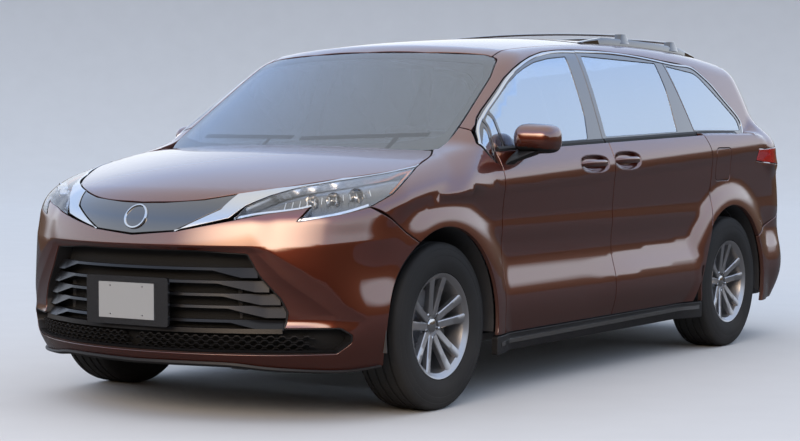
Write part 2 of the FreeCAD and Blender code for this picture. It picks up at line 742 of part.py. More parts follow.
floor_top = 285.0
floor_low = 245.0
kingpin_offset = 93.0
kingpin_lean = 12.7
strut_ball_z = 947.0
strut_ball_radius = 24.0
pin_ball_z = 236.0
pin_ball_radius = 12.0
hub_stub_radius = 20.0
shaft_end_x = 718.0


def kingpin_x(z):
    """Where the left steering axis is at a height."""
    return front_track / 2 - kingpin_offset - (z - axle_z) * math.tan(math.radians(kingpin_lean))


def floor_pan():
    """Floor, bulkhead, rear wheelhouses, front rails, strut towers and bonnet hinge brackets."""
    right = [(900, -1232), (900, 2060), (780, 2310), (640, 2380)]
    plan = right + [(-x, y) for x, y in reversed(right)]
    floor = prism_z(plan, floor_low, floor_top)
    housing = cylinder_x(rear_axle_y, axle_z, arch_radius + 28, arch_inner_x - 28, 868)
    housing = housing.common(box(0, 900, 900, 2000, floor_low, 900))
    rear_wells = [housing, mirrored(housing)]
    bulkhead = box(-868, 868, -1232, -1212, floor_low, 1075)
    rails = [box(x - 35, x + 35, -2400, -1212, 440, 560) for x in (-440, 440)]
    support = box(-520, 520, -2350, -2310, 780, 840)
    legs = [box(x - 30, x + 30, -2350, -2310, 440, 840) for x in (-440, 440)]
    rear_rails = [box(x - 40, x + 40, 620, 2385, 190, floor_low) for x in (-420, 420)]
    bar = box(-560, 560, 2425, 2475, 420, 540)
    brackets = [box(x - 40, x + 40, 2365, 2430, floor_low, 540) for x in (-420, 420)]
    within_bumper = lower_loft(skin + seat_gap)
    stays = [box(x - 30, x + 30, 2470, 2700, 450, 510).common(within_bumper) for x in (-300, 300)]
    left = []
    tower = box(474, 510, -1760, -1212, 440, 960).fuse(box(474, 730, -1690, -1540, 930, 965))
    tower = tower.cut(cylinder_z(kingpin_x(strut_ball_z), front_axle_y, strut_ball_radius + seat_gap, 900, 1000))
    left.append(tower)
    hinge_x = hood_hinge_x + 11
    bracket = prism_x(
        [(-1212, 1000), (-1212, 1075), (hood_hinge_y + 10, hood_hinge_z + 9, 8), (hood_hinge_y - 10, hood_hinge_z + 9, 8),
         (hood_hinge_y - 10, hood_hinge_z - 14)],
        hinge_x, hinge_x + 9,
    )
    left += [bracket, hood_pin()]
    whole = floor.fuse(rear_wells + [bulkhead] + rails + [support] + legs + rear_rails + [bar] + brackets + stays)
    whole = whole.fuse(left + [mirrored(piece) for piece in left])
    wells = [cylinder_x(y, axle_z, arch_radius, arch_inner_x, 1300) for y in (front_axle_y, rear_axle_y)]
    edge = box(820, 1000, -1300, 2500, 200, 400).cut(moved(lower_plain, x=-door_wall - seat_gap))
    cuts = wells + [mirrored(w) for w in wells] + [edge, mirrored(edge)]
    return whole.cut(cuts).removeSplitter()


def seat(x, y, z, width, depth, height, back_lean, head):
    """A seat facing forward: cushion, reclined back, headrest and a pedestal."""
    half = width / 2
    base = soft_box(x - half, x + half, y, y + depth, z, z + 150, 45)
    lean = math.tan(math.radians(back_lean)) * height
    back_outline = [
        (y + depth - 60, z + 60, 40), (y + depth + 90, z + 60, 40),
        (y + depth + 80 + lean, z + 60 + height, 40), (y + depth - 20 + lean, z + 60 + height, 40),
    ]
    back = prism_x(back_outline, x - half, x + half)
    top = z + 60 + height
    rest_y = y + depth - 20 + lean
    rest = soft_box(x - head / 2, x + head / 2, rest_y, rest_y + 90, top + 30, top + 200, 35)
    posts = [Part.makeCylinder(8, 60, V(x + s * 55, rest_y + 45, top - 15)) for s in (-1, 1)]
    stand = box(x - half + 60, x + half - 60, y + 60, y + depth - 40, floor_top + seat_gap, z + 5)
    return base.fuse([back, rest, stand] + posts)


def seats_front():
    return Part.makeCompound([seat(x, -640, 400, 530, 500, 600, 22, 260) for x in (-400, 400)])


def seats_second_row():
    return Part.makeCompound([seat(x, 330, 420, 520, 480, 600, 22, 260) for x in (-400, 400)])


def seat_third_row():
    half = 500
    whole = seat(0, 1290, 420, 2 * half - 20, 450, 560, 20, 240)
    extra = []
    for side in (-1, 1):
        extra.append(moved(soft_box(-115, 115, 1881, 1960, 1070, 1220, 30), x=side * 350))
        extra.append(Part.makeCylinder(8, 60, V(side * 350, 1925, 1015)))
    return tidy(whole.fuse(extra))


def dashboard():
    outline = [
        (-1212 + seat_gap, 1035), (-1100, 1085, 40), (-900, 1075, 50), (-760, 1010, 40), (-745, 860, 60), (-850, 760, 60),
        (-1000, 640, 40), (-1212 + seat_gap, 620),
    ]
    cover = prism_x(outline, -760, 760)
    console = prism_x(
        [(-1000, floor_top + seat_gap), (-1000, 720), (-780, 760, 40), (-260, 640, 60), (-200, floor_top + seat_gap)],
        -115, 115,
    )
    return cover.fuse(console)


column_lean = 24.0
steering_x = 400.0
steering_y = -620.0
steering_z = 985.0
steering_radius = 190.0


def steering_wheel():
    """Rim, three spokes and hub, square to the column."""
    ring = Part.makeTorus(steering_radius - 16, 16)
    hub = Part.makeCylinder(60, 55, V(0, 0, -20)).fuse(Part.makeCylinder(30, 50, V(0, 0, 0)))
    arms = [Part.makeBox(steering_radius - 20, 36, 16, V(0, -18, -8)) for _ in range(3)]
    for arm, angle in zip(arms, (0, 180, 270)):
        arm.rotate(V(0, 0, 0), V(0, 0, 1), angle)
    whole = ring.fuse([hub] + arms)
    whole.rotate(V(0, 0, 0), V(1, 0, 0), 90 + column_lean)
    whole.translate(V(steering_x, steering_y, steering_z))
    return whole


def column_cover():
    tube = Part.makeCylinder(42, 150, V(0, 0, 44)).cut(Part.makeCylinder(30 + seat_gap, 6 + seat_gap, V(0, 0, 44)))
    tube.rotate(V(0, 0, 0), V(1, 0, 0), 90 + column_lean)
    tube.translate(V(steering_x, steering_y, steering_z))
    return tube


def mirror():
    """Housing on a short arm from the door's upper front corner."""
    outline = [(985, 1052, 30), (1105, 1062, 40), (1128, 1150, 50), (1112, 1232, 40), (1010, 1246, 40), (985, 1150, 40)]
    shellform = prism_y(outline, -1010, -880)
    shellform = shellform.common(
        prism_z([(970, -870), (1140, -870), (1140, -930, 70), (1060, -1012, 60), (970, -1012, 30)], 1000, 1300)
    )
    arm = prism_y([(900, 1052), (1000, 1062), (1000, 1098), (900, 1090)], -985, -905)
    solid = shellform.fuse(arm)
    return solid.cut(moved(lower_plain, x=seat_gap)).cut(moved(green_outer, x=seat_gap))


def fuel_lid_prism(grow=0.0):
    return prism_x(grown(FUEL_LID, grow), 850, 1300)


def fuel_door():
    lid = lower_plain.common(fuel_lid_prism(-panel_gap / 2)).cut(moved(lower_plain, x=-7.0))
    low, high = fuel_lug_z
    barrel = fuel_axis(fuel_lug_radius, low + fuel_lug_height + 5.0, high - fuel_lug_height - 5.0)
    room = [
        fuel_axis(fuel_pin_radius + seat_gap, 900.0, 1200.0),
        fuel_axis(fuel_lug_radius + 1.0, low - 1.0, low + fuel_lug_height + 1.0),
        fuel_axis(fuel_lug_radius + 1.0, high - fuel_lug_height - 1.0, high + 1.0),
    ]
    return tidy(lid.fuse(barrel).cut(room))


fuel_lug_z = (1005.0, 1065.0)
fuel_lug_radius = 6.0
fuel_lug_height = 8.0
fuel_pin_radius = 2.7
fuel_axis_low = (988.0, 1241.0, 945.0)
fuel_axis_high = (948.0, 1241.0, 1128.0)


def fuel_axis(radius, z0, z1):
    """A rod on the fuel door's hinge line, which leans with the body side."""
    low, high = V(*fuel_axis_low), V(*fuel_axis_high)
    along = high - low
    start = low + along * ((z0 - low.z) / along.z)
    end = low + along * ((z1 - low.z) / along.z)
    return Part.makeCylinder(radius, (end - start).Length, start, end - start)


def fuel_lugs():
    """The body's two lugs and the pin between them."""
    low, high = fuel_lug_z
    lugs = [
        fuel_axis(fuel_lug_radius, low, low + fuel_lug_height),
        fuel_axis(fuel_lug_radius, high - fuel_lug_height, high),
    ]
    return fuel_axis(fuel_pin_radius, low, high).fuse(lugs)


def tyre(x, y):
    """A tyre with rounded shoulders and bulged walls, seated round the rim."""
    half = tyre_width / 2
    bead = rim_radius - 17.0 + tyre_gap
    foot = half - 22 + 1 - tyre_gap
    right = [
        (foot, bead), (foot, rim_radius + tyre_gap), (half - 9, rim_radius + tyre_gap), (half - 4, bead + 35),
        (half, bead + 66), (half - 4, bead + 105), (half - 14, tyre_radius - 10), (half - 36, tyre_radius),
    ]
    profile = right + [(-a, r) for a, r in reversed(right)]
    side = 1 if x > 0 else -1
    return revolve_x([(x + side * a, r) for a, r in profile], y, axle_z)


spoke_pairs = 5


def wheel(x, y):
    """An alloy wheel with five double spokes, its hub and the brake disc behind it."""
    half = tyre_width / 2 - 22
    seat = rim_radius - 17.0
    lip = rim_radius
    side = 1 if x > 0 else -1

    def turned(profile):
        return revolve_x([(x + side * a, r) for a, r in profile], y, axle_z)

    barrel = turned([
        (-half - 8, lip), (-half - 8, seat - 14), (half + 2, seat - 14), (half + 12, lip - 8), (half + 12, lip),
        (half + 1, lip), (half + 1, seat), (-half - 1, seat), (-half - 1, lip),
    ])
    hub = turned([(-18, 0), (-18, 74), (40, 74), (62, 34), (62, 0)])
    disc = turned([(-36, 60), (-36, 158), (-14, 158), (-14, 60)])
    hat = turned([(-36, 0), (-36, 80), (-10, 80), (-10, 0)])
    stub = turned([(-100, 0), (-100, hub_stub_radius), (-34, hub_stub_radius), (-34, 0)])
    spread = 42.0
    half_spoke = 11.0
    reach = math.sqrt((seat - 4) ** 2 - (spread + half_spoke) ** 2)
    arms = []
    for i in range(spoke_pairs):
        for lean in (-1, 1):
            inner = [(60, lean * 10 - half_spoke), (60, lean * 10 + half_spoke)]
            outline = inner + [(reach, lean * spread + half_spoke), (reach, lean * spread - half_spoke)]
            arm = prism_x(outline, 34, 62)
            arm.rotate(V(0, 0, 0), V(1, 0, 0), 360.0 / spoke_pairs * i + 90)
            arms.append(arm)
    star = arms[0].fuse(arms[1:])
    if side < 0:
        star = mirrored(star)
    star.translate(V(x, y, axle_z))
    return barrel.fuse([hub, disc, hat, stub, star])


def knuckle():
    """The left steering knuckle with its strut, on the inclined steering axis."""
    x = front_track / 2
    y = front_axle_y
    block = cylinder_x(y, axle_z, 62, x - 112, x - 52)
    arm = box(x - 112, x - 80, y - 26, y + 26, 262, axle_z)
    ball = Part.makeSphere(pin_ball_radius, V(kingpin_x(pin_ball_z), y, pin_ball_z))
    kingpin = V(-math.tan(math.radians(kingpin_lean)), 0, 1)
    stud = Part.makeCylinder(7, 40, V(kingpin_x(pin_ball_z), y, pin_ball_z), kingpin)
    neck = box(x - 112, x - 54, y - 12, y + 12, 262, 282)
    clamp = box(x - 215, x - 80, y - 24, y + 24, 410, 500)
    foot = V(x - 190, y, 440)
    top = V(kingpin_x(strut_ball_z), y, strut_ball_z)
    axis = top - foot
    damper = Part.makeCylinder(27, 380, foot, axis)
    rod = Part.makeCylinder(12, axis.Length, foot, axis)
    spring = Part.makeCylinder(52, 150, foot + axis * 0.59, axis)
    cap = Part.makeSphere(strut_ball_radius, top)
    caliper = box(x - 66, x + 14, y + 96, y + 168, axle_z - 70, axle_z + 70)
    slot = cylinder_x(y, axle_z, 165, x - 43, x - 7)
    bridge = box(x - 100, x - 60, y + 20, y + 120, axle_z - 30, axle_z + 30)
    whole = block.fuse([arm, ball, stud, neck, clamp, damper, rod, spring, cap, caliper.cut(slot), bridge])
    return whole.cut(cylinder_x(y, axle_z, hub_stub_radius + seat_gap, x - 120, x - 40)).removeSplitter()


def front_subframe():
    cross = box(-430, 430, -1720, -1500, 215, 300)
    rails = [box(x - 40, x + 40, -2330, -1233, 215, 262) for x in (-400, 400)]
    posts = [box(x - 40, x + 40, y, y + 60, 250, 440 - seat_gap) for x in (-430, 430) for y in (-2330, -1300)]
    end_x = kingpin_x(pin_ball_z)
    arm = prism_z([(360, -1710), (360, -1490), (end_x, -1595, 10), (end_x + 19, -1600, 10), (end_x + 19, -1634, 10), (end_x, -1639, 10)], 224, 246)
    arm = arm.cut(cylinder_z(end_x, front_axle_y, pin_ball_radius + seat_gap, 200, 300))
    arms = [arm, mirrored(arm)]
    link = box(-640, 640, -1530, -1500, 290, 320)
    return cross.fuse(rails + posts + arms + [link])


def engine_block():
    block = soft_box(-390, 380, -2200, -1660, 330, 900, 60)
    mounts = [box(x0, x1, -1960, -1880, 440, 560) for x0, x1 in ((-405 + seat_gap, -380), (370, 405 - seat_gap))]
    shafts = [cylinder_x(front_axle_y, axle_z, 16, x0, x1) for x0, x1 in ((200, shaft_end_x), (-shaft_end_x, -200))]
    nose = box(-260, 260, -1670, -1560, 330, 480)
    feet = [box(x - 60, x + 60, -1720, -1660, 300 + seat_gap, 340) for x in (-250, 250)]
    return block.fuse(mounts + shafts + [nose] + feet)


def rear_subframe():
    """Cross beam under the rear rails, with a hub carrier on each side."""
    beam = box(-480, 480, rear_axle_y - 60, rear_axle_y + 60, 150, 190 - seat_gap)
    x = rear_track / 2
    hub = cylinder_x(rear_axle_y, axle_z, 60, x - 126, x - 52)
    post = box(x - 172, x - 124, rear_axle_y - 28, rear_axle_y + 28, 150, axle_z + 30)
    link = box(470, x - 130, rear_axle_y - 28, rear_axle_y + 28, 150, 185)
    bore = cylinder_x(rear_axle_y, axle_z, hub_stub_radius + seat_gap, x - 104, x)
    carrier = hub.fuse([post, link]).cut(bore)
    return beam.fuse([carrier, mirrored(carrier)])


def radiator():
    return box(-400, 400, -2310 + seat_gap, -2260, 480, 800)


def fuel_tank():
    return soft_box(-310, 330, 150, 600, 175, floor_low - seat_gap, 20)


def exhaust():
    """Pipe beside the tank, silencer behind the axle and a tail pipe."""
    pipe = soft_box(-372, -332, -1180, 1250, 190, 235, 14)
    cross = soft_box(-372, -332, 1225, 2000, 104, 144, 14)
    riser = box(-372, -332, 1225, 1275, 112, 225)
    muffler = soft_box(-372, -120, 1950, 2330, 104, 176, 28)
    tail = Part.makeCylinder(26, 170, V(-240, 2320, 142), V(0, 1, -0.03))
    hangers = [box(x - 8, x + 8, y, y + 16, 150, floor_low - seat_gap) for x, y in ((-352, -600), (-352, 500), (-200, 2100))]
    return pipe.fuse([cross, riser, muffler, tail] + hangers)


def wipers():
    """Two blades and arms, seated on the windscreen just above the bonnet's rear edge."""
    seat = glass_inset - seat_gap
    front = moved(green_outer, y=seat - 15)
    cowl = cowl_panel()
    cowl_front = moved(cowl, y=-seat_gap)
    shapes = []
    for x0, x1, z0, z1 in ((690, 90, 1195, 1176), (40, -560, 1182, 1186)):
        blade = prism_y([(x0, z0), (x0, z0 + 16), (x1, z1 + 16), (x1, z1)], -2000, -1000)
        arm = box(x0 - 140, x0 - 118, -2000, -1000, 1130, z0 + 10)
        shapes.append(front.common(blade.fuse(arm)).cut([moved(green_outer, y=seat), hood_sweep(), cowl, cowl_front]))
    return tidy(Part.makeCompound(shapes))


def export(name, shape):
    shape.exportStep(os.path.join("parts", name + ".step"))
    size = shape.BoundBox
    print(f"{name}: {len(shape.Solids)} solid(s), valid {shape.isValid()}, "
          f"x {size.XMin:.0f}..{size.XMax:.0f}, y {size.YMin:.0f}..{size.YMax:.0f}, "
          f"z {size.ZMin:.0f}..{size.ZMax:.0f}", flush=True)


def pair(name, left):
    export(name + "_left", left)
    export(name + "_right", mirrored(left))


def main():
    os.makedirs("parts", exist_ok=True)
    export("hood", hood())
    pair("fender", fender())
    export("front_bumper", front_bumper())
    export("nose_panel", nose_panel())
    lamp = headlamp()
    export("headlamps", Part.makeCompound([lamp, mirrored(lamp)]))
    export("grille", grille())
    export("front_plate", front_plate())
    export("windshield", windshield())
    export("cowl_panel", cowl_panel())
    export("wipers", wipers())
    pair("front_door", front_door())
    pair("front_door_glass", glass_pane(FRONT_WINDOW))
    side_window = mirror()
    pair("mirror", side_window)
    pair("sliding_door", sliding_door())
    panes = [glass_pane(o) for o in (FRONT_PANE, SLIDING_WINDOW, QUARTER_WINDOW)]
    export("side_glass", Part.makeCompound(panes + [mirrored(p) for p in panes]))
    flank = body_side()
    lid_hole = fuel_lid_prism(panel_gap / 2).common(box(880, 1300, 0, 3000, 0, 2200))
    lug_room = fuel_axis(11.0, fuel_lug_z[0] + 8.0, fuel_lug_z[1] - 8.0)
    left_flank = flank.cut([lid_hole, lug_room]).fuse(fuel_lugs())
    export("body_side_left", tidy(left_flank))
    export("body_side_right", tidy(mirrored(flank)))
    export("fuel_door", fuel_door())
    export("roof_panel", roof_panel())
    rail = roof_rail()
    export("roof_rails", Part.makeCompound([rail, mirrored(rail)]))
    export("tailgate", tailgate())
    export("tailgate_glass", tailgate_glass())
    export("tailgate_lamps", tidy(tailgate_lamp_shape()))
    lamp = tail_lamp()
    export("tail_lamps", Part.makeCompound([lamp, mirrored(lamp)]))
    export("rear_bumper", rear_bumper())
    skirt = side_skirt()
    export("side_skirts", Part.makeCompound([skirt, mirrored(skirt)]))
    export("floor_pan", floor_pan())
    export("dashboard", dashboard().fuse(column_cover()))
    export("steering_wheel", steering_wheel())
    export("seats_front", seats_front())
    export("seats_second_row", seats_second_row())
    export("seat_third_row", seat_third_row())
    export("engine_block", engine_block())
    export("radiator", radiator())
    export("front_subframe", front_subframe())
    export("rear_subframe", rear_subframe())
    export("fuel_tank", fuel_tank())
    export("exhaust", exhaust())
    pair("knuckle", knuckle())
    for end, y, track in (("front", front_axle_y, front_track), ("rear", rear_axle_y, rear_track)):
        for side, way in (("left", 1), ("right", -1)):
            export(f"tyre_{end}_{side}", tyre(way * track / 2, y))
            export(f"wheel_{end}_{side}", wheel(way * track / 2, y))


main()
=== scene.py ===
# %% [markdown]
# # A family minivan
# This file gives a finished look to a van that was built as solids. The solids fix every size and every joint. Here
# each visible panel gets its fine surface, its trim and its material, and each one rides on the body that carries it,
# so that doors still open and wheels still steer. Lengths are metres: +X is the van's left, +Y its rear, +Z up.

import math

import bpy
import numpy as np
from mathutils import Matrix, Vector
from mathutils.geometry import delaunay_2d_cdt


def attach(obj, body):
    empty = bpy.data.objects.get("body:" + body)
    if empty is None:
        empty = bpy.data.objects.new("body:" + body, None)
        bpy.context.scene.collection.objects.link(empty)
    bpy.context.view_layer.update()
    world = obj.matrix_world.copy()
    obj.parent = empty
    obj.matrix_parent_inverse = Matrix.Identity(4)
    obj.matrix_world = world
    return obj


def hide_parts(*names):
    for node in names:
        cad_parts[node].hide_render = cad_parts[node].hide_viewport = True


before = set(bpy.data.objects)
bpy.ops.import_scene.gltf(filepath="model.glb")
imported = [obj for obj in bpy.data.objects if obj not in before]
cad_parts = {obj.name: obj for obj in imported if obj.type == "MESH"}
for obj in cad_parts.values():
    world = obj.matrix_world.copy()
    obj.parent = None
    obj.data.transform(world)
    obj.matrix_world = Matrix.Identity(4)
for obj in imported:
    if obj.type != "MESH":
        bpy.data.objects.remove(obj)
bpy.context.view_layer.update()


# %% [markdown]
# ## The body as one smooth field
# A van's body is pressed from steel sheets that all belong to one flowing skin. Modelling each panel by itself would
# let the reflections break at every shut line. So the skin is described once, as a field: a function that is
# negative inside the body, zero on its surface and positive outside. Each panel is then a trimmed piece of it.
# The lower body and the glasshouse are stacks of horizontal rings (bowed nose, round corners, straight sides, bowed
# tail), and both are cut on top by a crowned surface: the bonnet below, the roof above.

# %% Rings and crowns, in metres, the same sizes as the solid part
WHEEL_Z, FRONT_AXLE, REAR_AXLE = 0.3685, -1.617, 1.443
UP = np.array((0.0, 0.0, 1.0))
ARCH_R = 0.432
# height, half width, nose y, nose bow, nose corner, tail y, tail bow, tail corner
LOWER = np.array([
    (0.195, 0.925, -2.487, 1.25, 0.40, 2.467, 2.6, 0.38),
    (0.330, 0.968, -2.575, 1.25, 0.43, 2.552, 2.6, 0.42),
    (0.480, 0.980, -2.585, 1.25, 0.44, 2.583, 2.6, 0.43),
    (0.610, 0.958, -2.581, 1.25, 0.44, 2.585, 2.6, 0.43),
    (0.760, 0.964, -2.555, 1.30, 0.44, 2.573, 2.6, 0.44),
    (0.920, 0.980, -2.502, 1.40, 0.45, 2.542, 2.6, 0.45),
    (1.090, 0.952, -2.417, 1.50, 0.46, 2.502, 2.6, 0.45),
    (1.230, 0.902, -2.317, 1.60, 0.46, 2.457, 2.6, 0.44),
])
GREEN = np.array([
    (0.960, 0.972, -1.830, 1.75, 0.14, 2.515, 2.6, 0.42),
    (1.160, 0.912, -1.515, 1.70, 0.13, 2.465, 2.5, 0.42),
    (1.380, 0.843, -1.165, 1.62, 0.13, 2.385, 2.4, 0.40),
    (1.580, 0.766, -0.850, 1.55, 0.13, 2.285, 2.3, 0.38),
    (1.760, 0.675, -0.570, 1.50, 0.13, 2.185, 2.2, 0.36),
])
# y, height on the centre line, height at the half span
HOOD_SPAN, ROOF_SPAN = 1.0, 0.75
HOOD = np.array([(-2.76, 0.745, 0.520), (-2.54, 0.905, 0.715), (-2.33, 1.003, 0.840), (-2.03, 1.083, 0.958),
                 (-1.72, 1.136, 1.046), (-1.40, 1.172, 1.112), (-1.08, 1.200, 1.165)])
ROOF = np.array([(-1.30, 1.535, 1.475), (-0.75, 1.640, 1.580), (-0.25, 1.692, 1.632), (0.40, 1.728, 1.662),
                 (1.10, 1.740, 1.655), (1.70, 1.722, 1.614), (2.20, 1.672, 1.548), (2.70, 1.600, 1.460)])


def through(table):
    """Every column of a table as a smooth function of its first: a natural cubic spline, straight past the ends."""
    t, v = table[:, 0], table[:, 1:]
    h = np.diff(t)[:, None]
    n = len(t)
    a = np.zeros((n, n))
    b = np.zeros_like(v)
    a[0, 0] = a[-1, -1] = 1
    for i in range(1, n - 1):
        a[i, i - 1:i + 2] = h[i - 1, 0], 2 * (h[i - 1, 0] + h[i, 0]), h[i, 0]
        b[i] = 6 * ((v[i + 1] - v[i]) / h[i] - (v[i] - v[i - 1]) / h[i - 1])
    m = np.linalg.solve(a, b)

    def at(x):
        x = np.asarray(x, float)
        c = np.clip(x, t[0], t[-1])
        i = np.clip(np.searchsorted(t, c, "right") - 1, 0, n - 2)
        p, q, w = (t[i + 1] - c)[..., None], (c - t[i])[..., None], h[i]
        out = m[i] * p**3 / (6 * w) + m[i + 1] * q**3 / (6 * w) \
            + (v[i] / w - m[i] * w / 6) * p + (v[i + 1] / w - m[i + 1] * w / 6) * q
        slope = (v[i + 1] - v[i]) / w + (m[i + 1] * (3 * q**2 / w - w) - m[i] * (3 * p**2 / w - w)) / 6
        return out + slope * (x - c)[..., None]

    return at


lower_at, green_at, hood_at, roof_at = (through(t) for t in (LOWER, GREEN, HOOD, ROOF))


def step(x, a, b):
    """0 before a, 1 after b, and 3s^2 - 2s^3 between them."""
    s = np.clip((x - a) / (b - a), 0, 1)
    return s * s * (3 - 2 * s)


def angles(count):
    """Angles evenly spread round a circle, from 0."""
    return np.arange(count) / count * 2 * np.pi


def soft_max(a, b, k):
    """The greater of two fields, with the fold between them rounded over a width k."""
    h = np.maximum(k - np.abs(a - b), 0) / k
    return np.maximum(a, b) + h * h * k / 4


def ring_distance(x, y, ring):
    """How far (x, y) is outside a ring of four bowed sides joined by tangent corner arcs."""
    w, nose, bow_f, cor_f, tail, bow_r, cor_r = np.moveaxis(ring, -1, 0)
    x = np.abs(x)

    def end(y, tip, bow, cor):
        turn = np.arccos(np.clip((w - cor) / (bow - cor), -1, 1))
        side = tip + bow - (bow - cor) * np.sin(turn)
        qx, qy = x - (w - cor), side - y
        on_bow = np.hypot(x, y - tip - bow) - bow
        on_corner = np.hypot(qx, qy) - cor
        return np.where(qy <= 0, x - w, np.where(np.arctan2(qy, qx) < turn, on_corner, on_bow))

    # the front end rules ahead of the van's middle, the rear end behind it
    return np.where(y < 0.3, end(y, nose, bow_f, cor_f), end(-y, -tail, bow_r, cor_r))


def crown_height(at, span, x, y):
    """A crowned sheet: its height falls with the square of the distance from the centre line."""
    row = at(y)
    return row[..., 0] - (row[..., 0] - row[..., 1]) * (x / span) ** 2


# %% [markdown]
# The rings alone would look like soap. Creases and haunches catch the light on a real van, so they are added next: a
# ridge along the shoulder, domes round the wheels, and two creases on the bumper that run out from the grille.

# %% Creases and haunches, which press the plain rings into the real shape
def belt(y):
    """The height of the windows' foot: level at both ends, rising towards the rear between them."""
    return 1.135 + 0.077 * np.clip((y + 1.1) / 2.35, 0, 1)


def shoulder(y):
    """The height of the crisp line from the front wheel over the handles to the tail lamp."""
    return 1.021 + 0.049 * y


def side_form(y, z):
    """What is added to the half width: a ridge along the shoulder, a scooped door, a flared sill and a dome round
    each wheel, whose height falls with the square of the distance from the arch's edge."""
    half = lower_at(z)[..., 0]
    ridge = shoulder(y)
    above = step(z, ridge, ridge + 0.15)
    scoop = step(z, 0.66, 0.82) * (1 - step(z, ridge - 0.055, ridge))
    door = (0.968 + 0.013 * step(z, 0.80, ridge) - 0.028 * above * np.clip((z - ridge) / 0.1, 0, 2) - 0.005 * scoop)
    upper = step(z, 0.70, 0.84)
    flare_top = 0.60 + 0.05 * np.clip(y, -0.4, 1.0)
    flare = 0.012 * step(y, -0.35, 0.3) * np.clip((flare_top - z) / 0.11, 0, 1) * step(z, 0.25, 0.42)
    target = half * (1 - upper) + door * upper + flare
    for axle, reach in ((FRONT_AXLE, 0.9), (REAR_AXLE, 1.0)):
        r = np.hypot(y - axle, (z - WHEEL_Z)) - ARCH_R
        dome = 0.9955 - reach * np.maximum(r, 0) ** 2 - 0.02 * step(r, -0.02, 0.25)
        target = soft_max(target, dome, 0.016)
    return (np.minimum(target, 0.9965) - half) * step(y, -2.12, -1.75) * (1 - step(y, 2.05, 2.35))


def eased(d, most, edge=0.005):
    """Nothing before the crease (d < 0), then a slope of 1 that eases off towards the most. The crease itself is
    rounded over an edge: (d + sqrt(d^2 + edge^2)) / 2."""
    run = (d + np.sqrt(d * d + edge * edge)) / 2
    return most * (1 - np.exp(-run / most))


def nose_form(x, y, z):
    """What the bumper sinks towards the grille, past the two creases that run out and down from the grille's top
    corner, and how its upper half folds back above the crease under the headlamp."""
    x = np.abs(x)
    s = np.arctan2(x, -1.75 - y) * 0.75
    outer = np.interp(z, CREASE_OUT[::-1, 1], CREASE_OUT[::-1, 0])
    inner = np.interp(z, CREASE_IN[::-1, 1], CREASE_IN[::-1, 0])
    low = step(z, 0.36, 0.44)
    high = 1 - step(z, 0.715, 0.745)
    past_outer, past_inner = eased(outer - s, 0.07), eased(inner - s, 0.05)
    sink = (0.16 * past_outer + 0.30 * past_inner) * low * high
    over_fold = 0.13 * eased(z - np.interp(s, FOLD[:, 0], FOLD[:, 1]), 0.09) * step(s, 0.50, 0.60)
    return -(sink + over_fold) * (1 - step(y, -2.1, -1.90))


# The two creases, and the fold under the headlamp: distance round the nose (angle x 0.75 m), height
CREASE_OUT = np.array([(0.545, 0.745), (0.562, 0.730), (0.678, 0.640), (0.755, 0.564), (0.807, 0.499), (0.874, 0.438)])
CREASE_IN = np.array([(0.500, 0.755), (0.511, 0.740), (0.538, 0.701), (0.609, 0.615), (0.698, 0.534), (0.774, 0.459)])
FOLD = np.array([(0.50, 0.727), (0.558, 0.730), (0.740, 0.748), (0.876, 0.763), (1.018, 0.770)])


def low_body(p):
    """Walls and bonnet. The factor at the top keeps the field's rate of change near 1 on its slope."""
    x, y, z = np.moveaxis(p, -1, 0)
    walls = ring_distance(x, y, lower_at(z)) - side_form(y, z) - nose_form(x, y, z)
    top = (z - crown_height(hood_at, HOOD_SPAN, x, y)) * 0.95
    return soft_max(walls, top, 0.09)


def glasshouse(p):
    """Windows and roof, drawn in towards the tail by 0.03 m x the square of the way along it."""
    x, y, z = np.moveaxis(p, -1, 0)
    taper = 0.03 * np.clip((y - 0.9) / 1.2, 0, 1.2) ** 2
    walls = ring_distance(np.abs(x) + taper, y, green_at(z)) * 0.93
    top = z - crown_height(roof_at, ROOF_SPAN, x, y)
    return soft_max(walls, top, 0.06)


def whole_body(p):
    """The lower body, cut level at the belt, joined to the glasshouse. The join is a tight corner along the windows
    and a wide fillet at the front pillar's foot and at the rear quarter."""
    y, z = p[..., 1], p[..., 2]
    rear = step(y, 1.80, 2.06)
    low = soft_max(low_body(p), z - belt(y), 0.016 + 0.10 * rear)
    wide = 0.012 + 0.10 * (1 - step(y, -1.48, -1.10)) + 0.12 * rear
    high = np.maximum(glasshouse(p), belt(y) - 0.14 - z)
    return -soft_max(-low, -high, wide)


# %% [markdown]
# A panel is drawn flat, as its shut lines look from one side, and then thrown onto the skin along straight rays. Each
# family of rays suits one part of the van: across for the doors, downwards for the bonnet, fanned out from a line
# for the shoulders and fanned out from a post for the nose. The point where a ray leaves the body is found by halving.

# %% Families of rays
def fan(origin, direction, near, far, flatten):
    return dict(origin=origin, direction=direction, near=near, far=far, flatten=flatten)


def along(axis, sign, near, far):
    """Parallel rays along one axis: the flat drawing is in the other two."""
    keep = [i for i in range(3) if i != axis]

    def origin(uv):
        p = np.zeros((len(uv), 3))
        p[:, keep] = uv
        return p

    def direction(uv):
        d = np.zeros((len(uv), 3))
        d[:, axis] = sign
        return d

    return fan(origin, direction, near, far, lambda p: p[:, keep])


def round_line(x0, z0, scale, near, far):
    """Rays fanned out from a line along the van at (x0, z0): the flat drawing is (y, angle x scale)."""
    return fan(
        lambda uv: np.stack([np.full(len(uv), x0), uv[:, 0], np.full(len(uv), z0)], 1),
        lambda uv: np.stack([np.cos(uv[:, 1] / scale), 0 * uv[:, 0], np.sin(uv[:, 1] / scale)], 1),
        near, far,
        lambda p: np.stack([p[:, 1], np.arctan2(p[:, 2] - z0, p[:, 0] - x0) * scale], 1))


